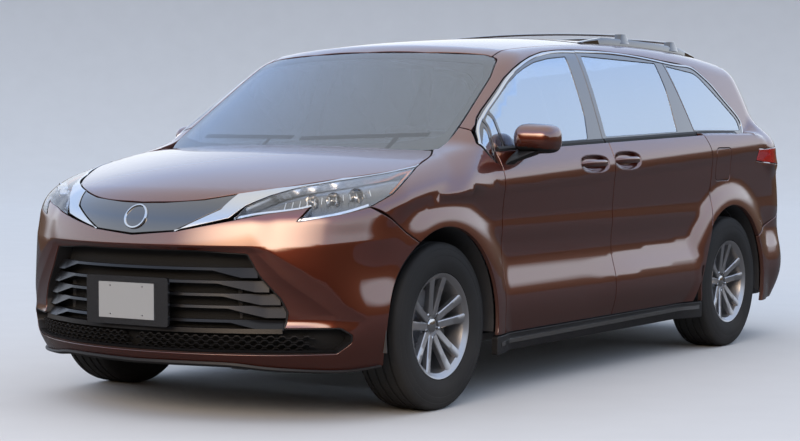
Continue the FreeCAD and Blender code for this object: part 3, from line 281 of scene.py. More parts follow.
def round_post(y0, way, scale, near, far):
    """Level rays fanned out from an upright post at (0, y0), forwards (way -1) or back: drawn as (angle x scale, z)."""
    return fan(
        lambda uv: np.stack([0 * uv[:, 0], np.full(len(uv), y0), uv[:, 1]], 1),
        lambda uv: np.stack([np.sin(uv[:, 0] / scale), way * np.cos(uv[:, 0] / scale), 0 * uv[:, 0]], 1),
        near, far,
        lambda p: np.stack([np.arctan2(p[:, 0], way * (p[:, 1] - y0)) * scale, p[:, 2]], 1))


def round_point(x0, y0, z0, scale, near, far):
    """Rays fanned out from one point: the flat drawing is (bearing, elevation), both x scale."""
    def direction(uv):
        a, e = uv[:, 0] / scale, uv[:, 1] / scale
        return np.stack([np.cos(e) * np.sin(a), -np.cos(e) * np.cos(a), np.sin(e)], 1)

    def flatten(p):
        d = p - (x0, y0, z0)
        return np.stack([np.arctan2(d[:, 0], -d[:, 1]), np.arctan2(d[:, 2], np.hypot(d[:, 0], d[:, 1]))], 1) * scale

    return fan(lambda uv: np.tile((x0, y0, z0), (len(uv), 1)).astype(float), direction, near, far, flatten)


ACROSS = along(0, 1, 0.45, 1.15)
DOWN = along(2, 1, 0.60, 1.95)
AHEAD = along(1, -1, 0.2, 2.75)
ASTERN = along(1, 1, 1.5, 2.75)
SHOULDER = round_line(0.50, 0.62, 0.45, 0.0, 0.9)
CANT = round_line(0.15, 1.00, 0.70, 0.0, 1.1)
NOSE = round_post(-1.75, -1, 0.75, 0.1, 1.5)
TAIL = round_post(1.75, 1, 0.75, 0.1, 1.5)
LAMP = round_point(0.30, -1.72, 0.55, 0.75, 0.2, 1.5)


HALVINGS = 24


def cast(rays, field, uv):
    """Where each ray leaves the body: the bracket around the surface is halved until it is shorter than a hair."""
    uv = np.asarray(uv, float)
    o, d = rays["origin"](uv), rays["direction"](uv)
    low, high = np.full(len(uv), rays["near"]), np.full(len(uv), rays["far"])
    for _ in range(HALVINGS):
        middle = (low + high) / 2
        inside = field(o + d * middle[:, None]) < 0
        low, high = np.where(inside, middle, low), np.where(inside, high, middle)
    return o + d * ((low + high) / 2)[:, None]


def slope_of(field, p, h=0.0015):
    """The outward direction: the field's rate of change along x, y and z, made one long."""
    n = np.stack([field(p + np.eye(3)[i] * h) - field(p - np.eye(3)[i] * h) for i in range(3)], 1)
    return n / np.linalg.norm(n, axis=1, keepdims=True)

# %% [markdown]
# ## Tools for panels, trim and turned pieces
# A flat outline becomes a panel in four moves: its corners are rounded, its inside is filled with a triangle net, the
# net is thrown onto the skin, and its rim is turned inwards over a small radius and closed behind. The surface's
# direction is taken from the field and not from the triangles, so reflections run on across shut lines.

# %% Outlines
def rounded(corners, radius=0.0, grain=0.012, closed=True):
    """An outline through corners (a, b) or (a, b, radius): each is rounded by a parabola that touches both sides,
    and straight stretches get points no more than a grain apart."""
    points = []
    count = len(corners)
    for i in range(count):
        here = np.array(corners[i][:2], float)
        r = corners[i][2] if len(corners[i]) == 3 else radius
        if not closed and i in (0, count - 1):
            points.append(here)
            continue
        before, after = np.array(corners[i - 1][:2]), np.array(corners[(i + 1) % count][:2])
        a, b = before - here, after - here
        cut = min(r, 0.48 * np.linalg.norm(a), 0.48 * np.linalg.norm(b))
        if cut < 1e-5:
            points.append(here)
            continue
        p, q = here + a / np.linalg.norm(a) * cut, here + b / np.linalg.norm(b) * cut
        t = np.linspace(0, 1, max(3, int(np.linalg.norm(q - p) / grain) + 3))[:, None]
        points.extend(p * (1 - t) ** 2 + 2 * here * t * (1 - t) + q * t**2)
    points = np.array(points)
    ends = np.roll(points, -1, axis=0) if closed else points[1:]
    runs = []
    for p, q in zip(points, ends):
        n = max(1, int(math.ceil(np.linalg.norm(q - p) / grain)))
        runs.append(p + (q - p) * (np.arange(n) / n)[:, None])
    if not closed:
        runs.append(points[-1:])
    out = np.concatenate(runs)
    keep = np.linalg.norm(out - np.roll(out, 1, axis=0), axis=1) > 1e-6
    return out[keep] if closed else out


def smooth(points, grain=0.015):
    """A natural cubic spline through points in space or on a drawing, by the length run along them."""
    points = np.asarray(points, float)
    t = np.concatenate([[0], np.cumsum(np.linalg.norm(np.diff(points, axis=0), axis=1))])
    return through(np.column_stack([t, points]))(np.linspace(0, t[-1], max(3, int(t[-1] / grain))))


def to_the_left(line):
    """For each point of an open line, the direction to its left, 1 m long."""
    d = np.gradient(line, axis=0)
    return np.stack([-d[:, 1], d[:, 0]], 1) / np.linalg.norm(d, axis=1, keepdims=True)


def area(loop):
    nxt = np.roll(loop, -1, axis=0)
    return 0.5 * np.sum(loop[:, 0] * nxt[:, 1] - nxt[:, 0] * loop[:, 1])


def left_turning(loop):
    """The loop in the order that keeps its inside on the left."""
    return loop if area(loop) > 0 else loop[::-1]


def drawn(corners, radius=0.0, grain=0.012):
    return left_turning(rounded(corners, radius, grain))


def moved_in(loop, by):
    """A loop moved to its left by a distance: each point goes along the mean of its two sides' normals."""
    d = np.roll(loop, -1, axis=0) - loop
    d /= np.linalg.norm(d, axis=1, keepdims=True)
    n = np.stack([-d[:, 1], d[:, 0]], 1)
    m = np.roll(n, 1, axis=0)
    mean = (n + m) / np.maximum(1 + np.sum(n * m, axis=1, keepdims=True), 0.5)
    return loop + mean * by


def inside(loop, points):
    """True where a level ray from the point crosses the loop an odd number of times."""
    a, b = loop, np.roll(loop, -1, axis=0)
    x, y = points[:, 0:1], points[:, 1:2]
    spans = (a[:, 1] > y) != (b[:, 1] > y)
    rise = np.where(a[:, 1] == b[:, 1], 1.0, b[:, 1] - a[:, 1])
    at = a[:, 0] + (y - a[:, 1]) * (b[:, 0] - a[:, 0]) / rise
    return np.sum(spans & (x < at), axis=1) % 2 == 1


def within(loops, points):
    """Inside the first loop and outside all the others."""
    return inside(loops[0], points) & ~np.any([inside(hole, points) for hole in loops[1:]], axis=0)


# %% [markdown]
# A net of triangles is laid inside each outline, because a net of even triangles bends smoothly where long thin
# ones would show as facets. Trim is made the other way, by carrying a small section along a line.

# %% Meshes
def to_mesh(name, verts, faces, normals=None, slots=(), slot_of=None, crease=None):
    """An object at the origin from arrays: (n, 3) points and (m, 3) or (m, 4) corner numbers."""
    mesh = bpy.data.meshes.new(name)
    faces = np.asarray(faces)
    size = faces.shape[1]
    mesh.vertices.add(len(verts))
    mesh.vertices.foreach_set("co", np.asarray(verts, np.float32).ravel())
    mesh.loops.add(faces.size)
    mesh.loops.foreach_set("vertex_index", faces.ravel().astype(np.int32))
    mesh.polygons.add(len(faces))
    mesh.polygons.foreach_set("loop_start", np.arange(0, faces.size, size, dtype=np.int32))
    mesh.polygons.foreach_set("use_smooth", np.ones(len(faces), bool))
    for material in slots:
        mesh.materials.append(material)
    if slot_of is not None:
        mesh.polygons.foreach_set("material_index", np.asarray(slot_of, np.int32))
    mesh.update(calc_edges=True)
    mesh.validate()
    if normals is not None:
        mesh.normals_split_custom_set_from_vertices(np.asarray(normals, np.float32))
    elif crease:
        mesh.set_sharp_from_angle(angle=math.radians(crease))
    piece = bpy.data.objects.new(name, mesh)
    bpy.context.scene.collection.objects.link(piece)
    return piece


def mirror_of(verts, faces, normals=None):
    """The same shape on the other side of the centre plane, its triangles wound the other way."""
    flip = np.array((-1.0, 1.0, 1.0))
    return verts * flip, faces[:, ::-1], None if normals is None else normals * flip


def strip_between(a, b):
    """Two triangles for each step along two rings of point numbers."""
    a2, b2 = np.roll(a, -1), np.roll(b, -1)
    return np.concatenate([np.stack([a, b, b2], 1), np.stack([a, b2, a2], 1)])


# The net's rows lie 0.87 grains apart, and its points stay 0.55 grains clear of the rim.
ROW_STEP, CLEAR_OF_RIM = 0.87, 0.55


def panel(rays, field, outline, holes=(), wall=0.016, grain=0.022, rim=0.0025, sunk=0.0, creases=()):
    """A closed sheet on the skin. The rim's rings follow a quarter circle: moved in by r(1 - sin t), sunk by
    r(1 - cos t). Creases are lines that the net has to follow. Returns points, triangles, directions and how many
    triangles show outside."""
    loops = [left_turning(outline)] + [left_turning(hole)[::-1] for hole in holes]
    inner = [moved_in(loop, rim) for loop in loops]
    low, high = loops[0].min(0), loops[0].max(0)
    u, v = np.meshgrid(np.arange(low[0], high[0], grain), np.arange(low[1], high[1], grain * ROW_STEP))
    u = u + (np.arange(u.shape[0])[:, None] % 2) * grain / 2
    net = np.stack([u.ravel(), v.ravel()], 1)
    net = net[within(loops, net)]
    lines = [line for line in creases if len(line) > 1]
    fixed = np.concatenate(inner + lines)
    far = [np.min(np.linalg.norm(part[:, None] - fixed[None], axis=2), axis=1) > CLEAR_OF_RIM * grain
           for part in np.array_split(net, len(net) // 2000 + 1)]
    net = net[np.concatenate(far)]
    starts = np.cumsum([0] + [len(points) for points in inner + lines])
    runs = [np.arange(a, b) for a, b in zip(starts[:-1], starts[1:])]
    # a rim closes on itself, and a crease line does not
    edges = np.concatenate([np.stack([run, np.roll(run, -1)], 1)[:len(run) if i < len(inner) else -1]
                            for i, run in enumerate(runs)])
    found = delaunay_2d_cdt([Vector(p) for p in np.concatenate([fixed, net]).tolist()], edges.tolist(), [], 0, 1e-7)
    flat = np.array([tuple(p) for p in found[0]])
    tris = np.array(found[2])
    tris = tris[within(inner, flat[tris].mean(1))]
    a, b, c = (flat[tris[:, i]] for i in range(3))
    clockwise = (b[:, 0] - a[:, 0]) * (c[:, 1] - a[:, 1]) - (b[:, 1] - a[:, 1]) * (c[:, 0] - a[:, 0]) < 0
    tris[clockwise] = tris[clockwise][:, ::-1]
    where = {old: new for new, olds in enumerate(found[3]) for old in olds}
    face = cast(rays, field, flat)
    out = slope_of(field, face)
    face = face - rays["direction"](flat) * sunk
    back = len(face)
    verts, normals, faces, hidden = [face, face - out * wall], [out, -out], [tris], [tris[:, ::-1] + back]
    count = 2 * back
    for loop, run in zip(loops, runs):
        last = ring = np.array([where[i] for i in run])
        base, base_out = face[ring], out[ring]
        edge = cast(rays, field, loop)
        edge_out = slope_of(field, edge)
        edge = edge - rays["direction"](loop) * sunk
        away = edge - base
        away -= base_out * np.sum(away * base_out, axis=1, keepdims=True)
        away /= np.maximum(np.linalg.norm(away, axis=1, keepdims=True), 1e-9)
        for t in np.radians((30, 60, 90)):
            share = math.sin(t)
            verts.append(base * (1 - share) + edge * share - edge_out * rim * (1 - math.cos(t)))
            normals.append(edge_out * math.cos(t) + away * share)
            now = np.arange(count, count + len(loop))
            faces.append(strip_between(last, now))
            last = now
            count += len(loop)
        verts.append(edge - edge_out * wall)
        normals.append(away)
        now = np.arange(count, count + len(loop))
        hidden += [strip_between(last, now), strip_between(now, ring + back)]
        count += len(loop)
    shown = sum(len(f) for f in faces)
    verts, normals, faces = (np.concatenate(x) for x in (verts, normals, faces + hidden))
    if winds_out(verts, faces[:shown], normals) < 0:
        faces = faces[:, ::-1]
    return verts, faces, normals, shown


def winds_out(verts, faces, normals):
    """Positive where the triangles wind outwards."""
    a, b, c = (verts[faces[:, i]] for i in range(3))
    return float(np.sum(np.cross(b - a, c - a) * normals[faces[:, 0]]))


def add_sides(name, shape, body, node, slots, sides, slot_of=None, crease=None):
    """A shape as one piece, or as a left one and its mirror image, riding its body in place of its solid."""
    made = [to_mesh(name if sides == "one" else name + "_left", *shape, slots, slot_of, crease)]
    if sides == "both":
        made.append(to_mesh(name + "_right", *mirror_of(*shape), slots, slot_of, crease))
    for piece, side in zip(made, ("left", "right")):
        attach(piece, body.format(side))
        if node:
            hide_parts(*[n.format(side) for n in node.split()])


def add_panel(name, rays, field, outline, body, node, slots, sides, **how):
    """A panel with one finish outside and another behind."""
    verts, faces, normals, shown = panel(rays, field, outline, **how)
    slot_of = np.where(np.arange(len(faces)) < shown, 0, len(slots) - 1)
    add_sides(name, (verts, faces, normals), body, node, slots, sides, slot_of)
    print(name, "has", len(faces), "triangles a side")


def flat_of(rays, points):
    """Where points in space lie in a family's flat drawing."""
    return rays["flatten"](np.asarray(points, float))


def outward(verts, faces):
    """Turns all the triangles of a closed shape round if they enclose a negative volume."""
    a, b, c = (verts[faces[:, i]] for i in range(3))
    return faces if np.sum(np.cross(a, b) * c) > 0 else faces[:, ::-1]


def grid_solid(points, closed=False):
    """A solid from rings of points (rows, around, 3). Its rows close into a loop, or both its ends are filled."""
    points = np.asarray(points, float)
    n, m = points.shape[:2]
    index = np.arange(n * m).reshape(n, m)
    here, nxt = (index, np.roll(index, -1, axis=0)) if closed else (index[:-1], index[1:])
    quads = np.stack([here, np.roll(here, -1, axis=1), np.roll(nxt, -1, axis=1), nxt], -1).reshape(-1, 4)
    ends = [np.stack([np.full(m - 2, ring[0]), ring[1:-1], ring[2:]], 1) for ring in (index[0][::-1], index[-1])]
    faces = np.concatenate([quads[:, [0, 1, 2]], quads[:, [0, 2, 3]]] + ([] if closed else ends))
    verts = points.reshape(-1, 3)
    return verts, outward(verts, faces)


def section_solid(make, section):
    """A solid whose section is a list of corners: make(corner) gives the line that this corner runs along."""
    return grid_solid(np.stack([make(*corner) for corner in section], 1))


def sweep(path, out, profile, closed=True):
    """A profile of (across, up) carried along a path that lies on a skin: point + side x across + out x up."""
    way = (np.roll(path, -1, axis=0) - np.roll(path, 1, axis=0)) if closed else np.gradient(path, axis=0)
    side = np.cross(way, out)
    side /= np.linalg.norm(side, axis=1, keepdims=True)
    across, up = np.asarray(profile, float).T[:, None, :, None]
    return grid_solid(path[:, None] + side[:, None] * across + out[:, None] * up, closed)


def turned(profile, x, y, z, around=96):
    """A closed profile of (across, radius) points, turned about a level axle."""
    c, r = np.asarray(profile, float).T[:, None]
    a = angles(around)[:, None]
    return grid_solid(np.stack([x + c + 0 * a, y + r * np.sin(a), z + r * np.cos(a)], -1), closed=True)


def joined(shapes):
    """Several shapes (points, faces) as one."""
    starts = np.cumsum([0] + [len(v) for v, f in shapes])
    return np.concatenate([v for v, f in shapes]), np.concatenate([f + at for (v, f), at in zip(shapes, starts)])


def add_pieces(name, shapes, body="body", node=None, slots=(), crease=35, sides="one"):
    """Several shapes as one piece, with a mirror image if asked."""
    add_sides(name, (*joined(shapes), None), body, node, slots, sides, crease=crease)


# %% [markdown]
# ## Finishes
# Three effects are shared by several finishes, so each is a node group: fine grain for moulded plastic and rubber, a
# soft veil of road dust that is strongest near the ground, and a slow drift of colour so that no surface is dead flat.

# %% Shared effects
def node(tree, kind, inputs=None, **settings):
    """A node with its settings. Each input gets a value, or a wire from another node's socket."""
    made = tree.nodes.new("ShaderNode" + kind)
    for key, value in settings.items():
        setattr(made, key, value)
    fill(tree, made, inputs or {})
    return made


def fill(tree, made, inputs):
    for socket, value in inputs.items():
        if isinstance(value, bpy.types.NodeSocket):
            tree.links.new(value, made.inputs[socket])
        else:
            made.inputs[socket].default_value = value


def sums(tree, operation, *values):
    """The output of one Math node."""
    return node(tree, "Math", dict(enumerate(values)), operation=operation).outputs[0]


def group(name, result, kind="Float", **inputs):
    """An empty node group with one result. Returns the tree, its inputs and its output node."""
    tree = bpy.data.node_groups.new(name, "ShaderNodeTree")
    for label, value in inputs.items():
        socket = tree.interface.new_socket(label, in_out="INPUT", socket_type="NodeSocket" + (
            "Float" if isinstance(value, float) else "Color"))
        socket.default_value = value
    tree.interface.new_socket(result, in_out="OUTPUT", socket_type="NodeSocket" + kind)
    return tree, tree.nodes.new("NodeGroupInput").outputs, tree.nodes.new("NodeGroupOutput")


def noise(tree, scale, detail=2.0):
    """Noise fixed to the object, from 0 to 1."""
    place = node(tree, "TexCoord").outputs["Object"]
    return node(tree, "TexNoise", {"Vector": place, "Scale": scale, "Detail": detail}).outputs["Fac"]


def grain_group():
    """Height = fine noise of the given scale."""
    tree, given, out = group("moulded_grain", "Height", Scale=600.0)
    fill(tree, out, {"Height": noise(tree, given["Scale"], 4)})
    return tree


def dust_group():
    """Mask = noise x amount x how low the point is: full at the ground, gone at the given height."""
    tree, given, out = group("road_dust", "Mask", Height=0.6, Amount=0.3)
    at = node(tree, "SeparateXYZ", {0: node(tree, "TexCoord").outputs["Object"]})
    low = node(tree, "MapRange", {"Value": at.outputs["Z"], "From Min": 0, "From Max": given["Height"],
                                  "To Min": 1, "To Max": 0})
    veil = sums(tree, "MULTIPLY", low.outputs[0], noise(tree, 5, 6))
    fill(tree, out, {"Mask": sums(tree, "MULTIPLY", veil, given["Amount"])})
    return tree


def drift_group():
    """Colour = the given colour x (1 + amount x (2 noise - 1)), with a slow noise."""
    tree, given, out = group("slow_drift", "Colour", "Color", Colour=(0.5, 0.5, 0.5, 1), Scale=3.0, Amount=0.1)
    spread = sums(tree, "MULTIPLY_ADD", noise(tree, given["Scale"], 3), 2, -1)
    gain = sums(tree, "MULTIPLY_ADD", spread, given["Amount"], 1)
    scaled = node(tree, "VectorMath", {0: given["Colour"], "Scale": gain}, operation="SCALE")
    fill(tree, out, {"Colour": scaled.outputs[0]})
    return tree


GRAIN, DUST, DRIFT = grain_group(), dust_group(), drift_group()
DUST_COLOUR = (0.23, 0.20, 0.17, 1)


def effect(tree, shared, **inputs):
    """The result of a shared effect."""
    return node(tree, "Group", inputs, node_tree=shared).outputs[0]


def mixed(tree, factor, a, b):
    """One colour fading into another."""
    return node(tree, "Mix", {"Factor": factor, "A": a, "B": b}, data_type="RGBA").outputs["Result"]


def new_finish(name, **sockets):
    made = bpy.data.materials.new(name)
    made.use_nodes = True
    shader = made.node_tree.nodes["Principled BSDF"]
    fill(made.node_tree, shader, {label.replace("_", " "): value for label, value in sockets.items()})
    return made, made.node_tree, shader


def finish_of(name, colour, drift=(3.0, 0.08), grain=None, dust=None, **sockets):
    """A Principled finish whose base colour drifts slowly, with moulded grain and road dust where they are given."""
    made, tree, shader = new_finish(name, **sockets)
    base = effect(tree, DRIFT, Colour=(*colour, 1), Scale=drift[0], Amount=drift[1])
    if dust:
        veil = effect(tree, DUST, Height=dust[0], Amount=dust[1])
        base = mixed(tree, veil, base, DUST_COLOUR)
        # dust is rough: full dust adds 0.8 to the roughness
        clean = shader.inputs["Roughness"].default_value
        fill(tree, shader, {"Roughness": sums(tree, "MULTIPLY_ADD", veil, 0.8, clean)})
    fill(tree, shader, {"Base Color": base})
    if grain:
        height = effect(tree, GRAIN, Scale=grain[0])
        bump = node(tree, "Bump", {"Height": height, "Distance": grain[1], "Strength": 0.5})
        fill(tree, shader, {"Normal": bump.outputs["Normal"]})
    return made


# %% [markdown]
# Each finish is then one line: its colour, how far the colour drifts, its grain, its dust, and how it shines. The
# paint is a metallic base under a clear coat, which is why it has one broad glow and one sharp mirror image.

# %% Paint, glass, metal, plastic, rubber
PAINT = finish_of("red_brown_paint", (0.120, 0.0185, 0.006), drift=(1.2, 0.05), dust=(0.50, 0.05), Metallic=0.80,
                  Roughness=0.34, Coat_Weight=1.0, Coat_Roughness=0.012, Coat_IOR=2.1)
UNDERSIDE = finish_of("paint_inside", (0.07, 0.018, 0.010), dust=(0.9, 0.3), Roughness=0.6)
GLASS = finish_of("side_glass", (0.66, 0.76, 0.86), drift=(2.0, 0.03), Metallic=0.62, Roughness=0.01, IOR=1.6,
                  Transmission_Weight=1.0)
SCREEN = finish_of("windscreen_glass", (0.60, 0.66, 0.73), drift=(2.0, 0.02), Metallic=0.12, Roughness=0.01, IOR=1.6,
                   Transmission_Weight=1.0)
LENS = finish_of("lamp_cover", (0.97, 0.98, 1.0), drift=(4.0, 0.02), Roughness=0.01, IOR=1.5, Transmission_Weight=1.0)
RED_LENS = finish_of("red_lamp_cover", (0.55, 0.012, 0.015), drift=(9.0, 0.1), Roughness=0.06, IOR=1.5,
                     Transmission_Weight=0.35, Coat_Weight=1.0)
AMBER = finish_of("amber_marker", (0.80, 0.22, 0.03), drift=(9.0, 0.1), Roughness=0.2)
CHROME = finish_of("satin_chrome", (0.62, 0.63, 0.64), drift=(6.0, 0.03), Metallic=1.0, Roughness=0.12)
BRIGHT = finish_of("lamp_reflector", (0.80, 0.81, 0.82), drift=(20.0, 0.08), Metallic=1.0, Roughness=0.16)
ALLOY = finish_of("machined_alloy", (0.46, 0.46, 0.47), drift=(9.0, 0.05), dust=(0.75, 0.15), Metallic=0.9,
                  Roughness=0.30,
                  Coat_Weight=0.4)
GLOSS_BLACK = finish_of("gloss_black", (0.012, 0.012, 0.013), Roughness=0.08, Coat_Weight=1.0, Coat_IOR=2.0)
TRIM = finish_of("black_trim", (0.011, 0.011, 0.012), grain=(700.0, 0.0006), dust=(0.6, 0.10), Roughness=0.45,
                 Specular_IOR_Level=0.35)
SLAT = finish_of("grille_slats", (0.008, 0.008, 0.009), grain=(500.0, 0.0003), dust=(0.7, 0.04), Roughness=0.28,
                 Specular_IOR_Level=0.35)
# deep_black is a matte near-black. Behind the grille's mouth it is painted shade for the dark depth there; on the
# windscreen border it is the back of the black print.
DEEP = finish_of("deep_black", (0.006, 0.006, 0.006), Roughness=0.85)
SEAL = finish_of("rubber_seal", (0.012, 0.012, 0.012), grain=(300.0, 0.0004), Roughness=0.6)
RUBBER = finish_of("tyre_rubber", (0.012, 0.012, 0.012), drift=(12.0, 0.2), grain=(260.0, 0.0008), dust=(0.8, 0.16),
                   Roughness=0.7,
                   Specular_IOR_Level=0.3)
STEEL = finish_of("brake_steel", (0.34, 0.34, 0.35), drift=(30.0, 0.2), Metallic=1.0, Roughness=0.35)
CAST = finish_of("cast_iron", (0.10, 0.095, 0.09), drift=(25.0, 0.3), grain=(150.0, 0.002), Metallic=0.6, Roughness=0.6)
CHASSIS = finish_of("underbody_coat", (0.03, 0.03, 0.032), drift=(6.0, 0.2), grain=(90.0, 0.002), dust=(0.6, 0.5),
                    Roughness=0.75)
CASTING = finish_of("engine_casting", (0.32, 0.32, 0.33), drift=(14.0, 0.2), grain=(120.0, 0.002), Metallic=0.8,
                    Roughness=0.5)
TANK = finish_of("tank_plastic", (0.02, 0.02, 0.02), grain=(200.0, 0.001), dust=(0.5, 0.5), Roughness=0.55)
CABIN = finish_of("cabin_plastic", (0.045, 0.043, 0.042), grain=(800.0, 0.0006), Roughness=0.6)
PLATE = finish_of("blank_plate", (0.34, 0.35, 0.35), drift=(2.0, 0.05), dust=(0.8, 0.2), Roughness=0.35)

# %% [markdown]
# ## Shut lines
# Two panels that meet share one line, so the gap between them is even. A line is given from the side (y, z), from
# above (x, y) or by the way round the nose (angle x 0.75 m, height), and thrown on the skin to become points in space.

# %% Lines on the skin
def from_side(points, field=whole_body):
    return cast(ACROSS, field, np.array([p[:2] for p in points], float))


def from_above(points, field=low_body):
    return cast(DOWN, field, np.array(points, float))


def arch(axle, start, end, count=28, radius=ARCH_R):
    """Part of a wheel opening's circle, by angle: 0 at its rear, 90 on top."""
    a = np.radians(np.linspace(start, end, count))
    return np.stack([axle + radius * np.cos(a), WHEEL_Z + radius * np.sin(a)], 1)


def both_halves(points):
    """A left half, given from the centre line round to the centre line, joined to its mirror image."""
    points = [tuple(p) for p in points]
    return points + [(-p[0], *p[1:]) for p in reversed(points) if abs(p[0]) > 1e-6]


GAP = 0.0022
HOOD_REAR = [(0, -1.552), (0.30, -1.540), (0.56, -1.490), (0.70, -1.455), (0.785, -1.420)]
HOOD_SIDE = [(0.785, -1.420), (0.842, -1.527), (0.876, -1.660), (0.889, -1.715)]
LAMP_REAR_TIP = (0.899, -1.745, 1.052)
WING_LOW = [(0.888, -1.711, 1.064), (0.790, -1.958, 1.025), (0.721, -2.067, 1.008), (0.638, -2.193, 0.986),
            (0.562, -2.315, 0.952), (0.493, -2.397, 0.908), (0.446, -2.450, 0.858)]
WING_TOP = [(0.881, -1.682, 1.072), (0.722, -2.026, 1.019), (0.554, -2.257, 0.980), (0.428, -2.361, 0.957),
            (0.396, -2.441, 0.893)]
WING_TIP = (0.216, -2.526, 0.802)
LAMP_LOW = [(0.461, -2.445, 0.851), (0.587, -2.377, 0.879), (0.713, -2.296, 0.900), (0.739, -2.273, 0.908),
            (0.708, -2.328, 0.846), (0.855, -2.206, 0.877), (0.914, -2.102, 0.905)]
LAMP_REAR = [(0.914, -2.102, 0.905), (0.948, -1.982, 0.957), (0.930, -1.870, 1.005), LAMP_REAR_TIP]
BUMPER_SEAM = [(-1.999, 0.847), (-1.916, 0.789), (-1.835, 0.745)]
DOOR_TOP = [(-1.098, 1.283), (-1.045, 1.318), (-0.962, 1.369), (-0.870, 1.425), (-0.791, 1.473), (-0.694, 1.521),
            (-0.610, 1.552), (-0.490, 1.584), (-0.325, 1.614), (-0.160, 1.629), (0.0, 1.634)]
SLIDING_TOP = [(0.0, 1.636), (0.28, 1.641), (0.739, 1.628), (0.985, 1.611)]
SLIDING_REAR = [(0.985, 1.611), (1.000, 1.575), (1.128, 1.212), (1.190, 1.080, 0.06), (1.165, 0.705, 0.12),
                (1.012, 0.395, 0.06), (0.935, 0.290)]
QUARTER_TOP = [(0.985, 1.611), (1.222, 1.598), (1.395, 1.580), (1.456, 1.552), (1.553, 1.500), (1.642, 1.435),
               (1.734, 1.372), (1.808, 1.320), (1.846, 1.267), (1.822, 1.200)]
PANE_EDGE = [(-1.098, 1.070), (-1.139, 1.086), (-1.175, 1.123), (-1.218, 1.163, 0.03), (-1.177, 1.219), (-1.098, 1.283)]
FRONT_WINDOW = [(-0.985, 1.150), (-1.022, 1.312), (-0.948, 1.356), (-0.862, 1.407), (-0.783, 1.452), (-0.690, 1.494),
                (-0.600, 1.524), (-0.480, 1.556), (-0.320, 1.580), (-0.125, 1.596), (-0.125, 1.300), (-0.158, 1.180)]
DOOR_PANE = [(-1.085, 1.145), (-1.083, 1.268), (-1.040, 1.300), (-1.006, 1.146)]
FRONT_PANE = [(-1.188, 1.163), (-1.118, 1.240), (-1.112, 1.112), (-1.136, 1.108)]
SLIDING_WINDOW = [(0.045, 1.192), (0.045, 1.604), (0.893, 1.592), (0.915, 1.450), (0.905, 1.218)]
QUARTER_WINDOW = [(1.128, 1.228), (1.020, 1.580), (1.385, 1.548, 0.06), (1.640, 1.385), (1.790, 1.285, 0.04),
                  (1.798, 1.228, 0.015)]
SCREEN_EDGE = [(0.803, 1.135), (0.789, 1.208), (0.777, 1.283), (0.757, 1.377), (0.737, 1.475), (0.698, 1.568, 0.03),
               (0.620, 1.590), (0.330, 1.604), (0, 1.610)]
FUEL_LID = [(1.240, 0.945, 0.035), (1.438, 0.945, 0.035), (1.438, 1.128, 0.035), (1.240, 1.128, 0.035)]

# %% [markdown]
# The bonnet, the two wings beside it and the bumper take most of the photograph. The bonnet is one crowned sheet; the
# mudguards fan out over the shoulder; the bumper is wrapped round the nose, with the mouth of the grille cut out.

# %% Bonnet, mudguards and front bumper
PAINTED = (PAINT, UNDERSIDE)
HOOD_NOSE = [(0.300, -2.430), (0.119, -2.472), (0, -2.480)]
hood_side = smooth([*HOOD_SIDE, (0.881, -1.745), *[p[:2] for p in WING_TOP[1:4]], *HOOD_NOSE])
hood_line = drawn(both_halves(HOOD_REAR[:-1] + [*hood_side]), 0.003)
add_panel("hood_skin", DOWN, low_body, moved_in(hood_line, GAP), "hood_body", "hood", PAINTED, "one", grain=0.026)

fender_line = [
    *from_above(smooth(HOOD_SIDE)), *LAMP_REAR[::-1], *from_side(BUMPER_SEAM), *from_side(arch(FRONT_AXLE, 120, -10.5)),
    *from_side([(-1.100, 0.290), (-1.100, 1.068), (-1.141, 1.080), (-1.180, 1.118), (-1.224, 1.163), (-1.184, 1.222)]),
    *cast(AHEAD, whole_body, [(0.785, 1.238), (0.789, 1.208), (0.803, 1.140)])]
fender_flat = drawn(flat_of(SHOULDER, fender_line), 0.004)
add_panel("fender_skin", SHOULDER, whole_body, moved_in(fender_flat, GAP), "body", "fender_{}", PAINTED, "both",
          grain=0.02)

MOUTH = [(0, 0.722), (0.30, 0.722), (0.493, 0.712), (0.538, 0.620), (0.609, 0.528), (0.634, 0.470), (0.628, 0.430),
         (0.618, 0.407), (0.794, 0.407), (0.831, 0.375), (0.831, 0.345), (0.786, 0.297), (0.608, 0.293), (0, 0.293)]
bumper_half = [(0, 0.242), (0.407, 0.242), (0.539, 0.233), (0.710, 0.215), (0.811, 0.208), (0.930, 0.222)]
bumper_half += [*flat_of(NOSE, [*from_side(arch(FRONT_AXLE, 198, 121)), *from_side(BUMPER_SEAM[::-1]), *LAMP_LOW[::-1],
                                WING_TIP]), (0, 0.784)]
bumper_line = drawn(both_halves(bumper_half), 0.006)
mouth_line = drawn(both_halves(MOUTH), 0.008)


def crease(points, spread=0.004):
    """A crease as three lines, the fold and one on each side of it, on the left and on the right."""
    line = smooth(points, 0.009)
    lines = [line + to_the_left(line) * by for by in (-spread, 0, spread)]
    return lines + [line * (-1, 1) for line in lines]


folds = crease(CREASE_OUT[1:]) + crease(CREASE_IN[2:]) + crease(FOLD[2:])
add_panel("front_bumper_skin", NOSE, low_body, moved_in(bumper_line, GAP), "body", "front_bumper", PAINTED, "one",
          holes=[mouth_line], grain=0.014, creases=folds)

# %% [markdown]
# Between the lamps sits a gloss black nose panel, and from its lower corners a satin bright wing sweeps back over each
# lamp to the mudguard. The wing stands a few millimetres proud, which gives it its own edge light.

# %% Nose panel and wings
nose_half = [(0, 0.786), *flat_of(NOSE, [WING_TIP, WING_TOP[4], WING_TOP[3], *from_above(HOOD_NOSE)])]
nose_line = drawn(both_halves(nose_half), 0.004)
add_panel("nose_skin", NOSE, low_body, moved_in(nose_line, GAP), "body", "nose_panel", (GLOSS_BLACK, TRIM), "one",
          wall=0.012, sunk=0.002)

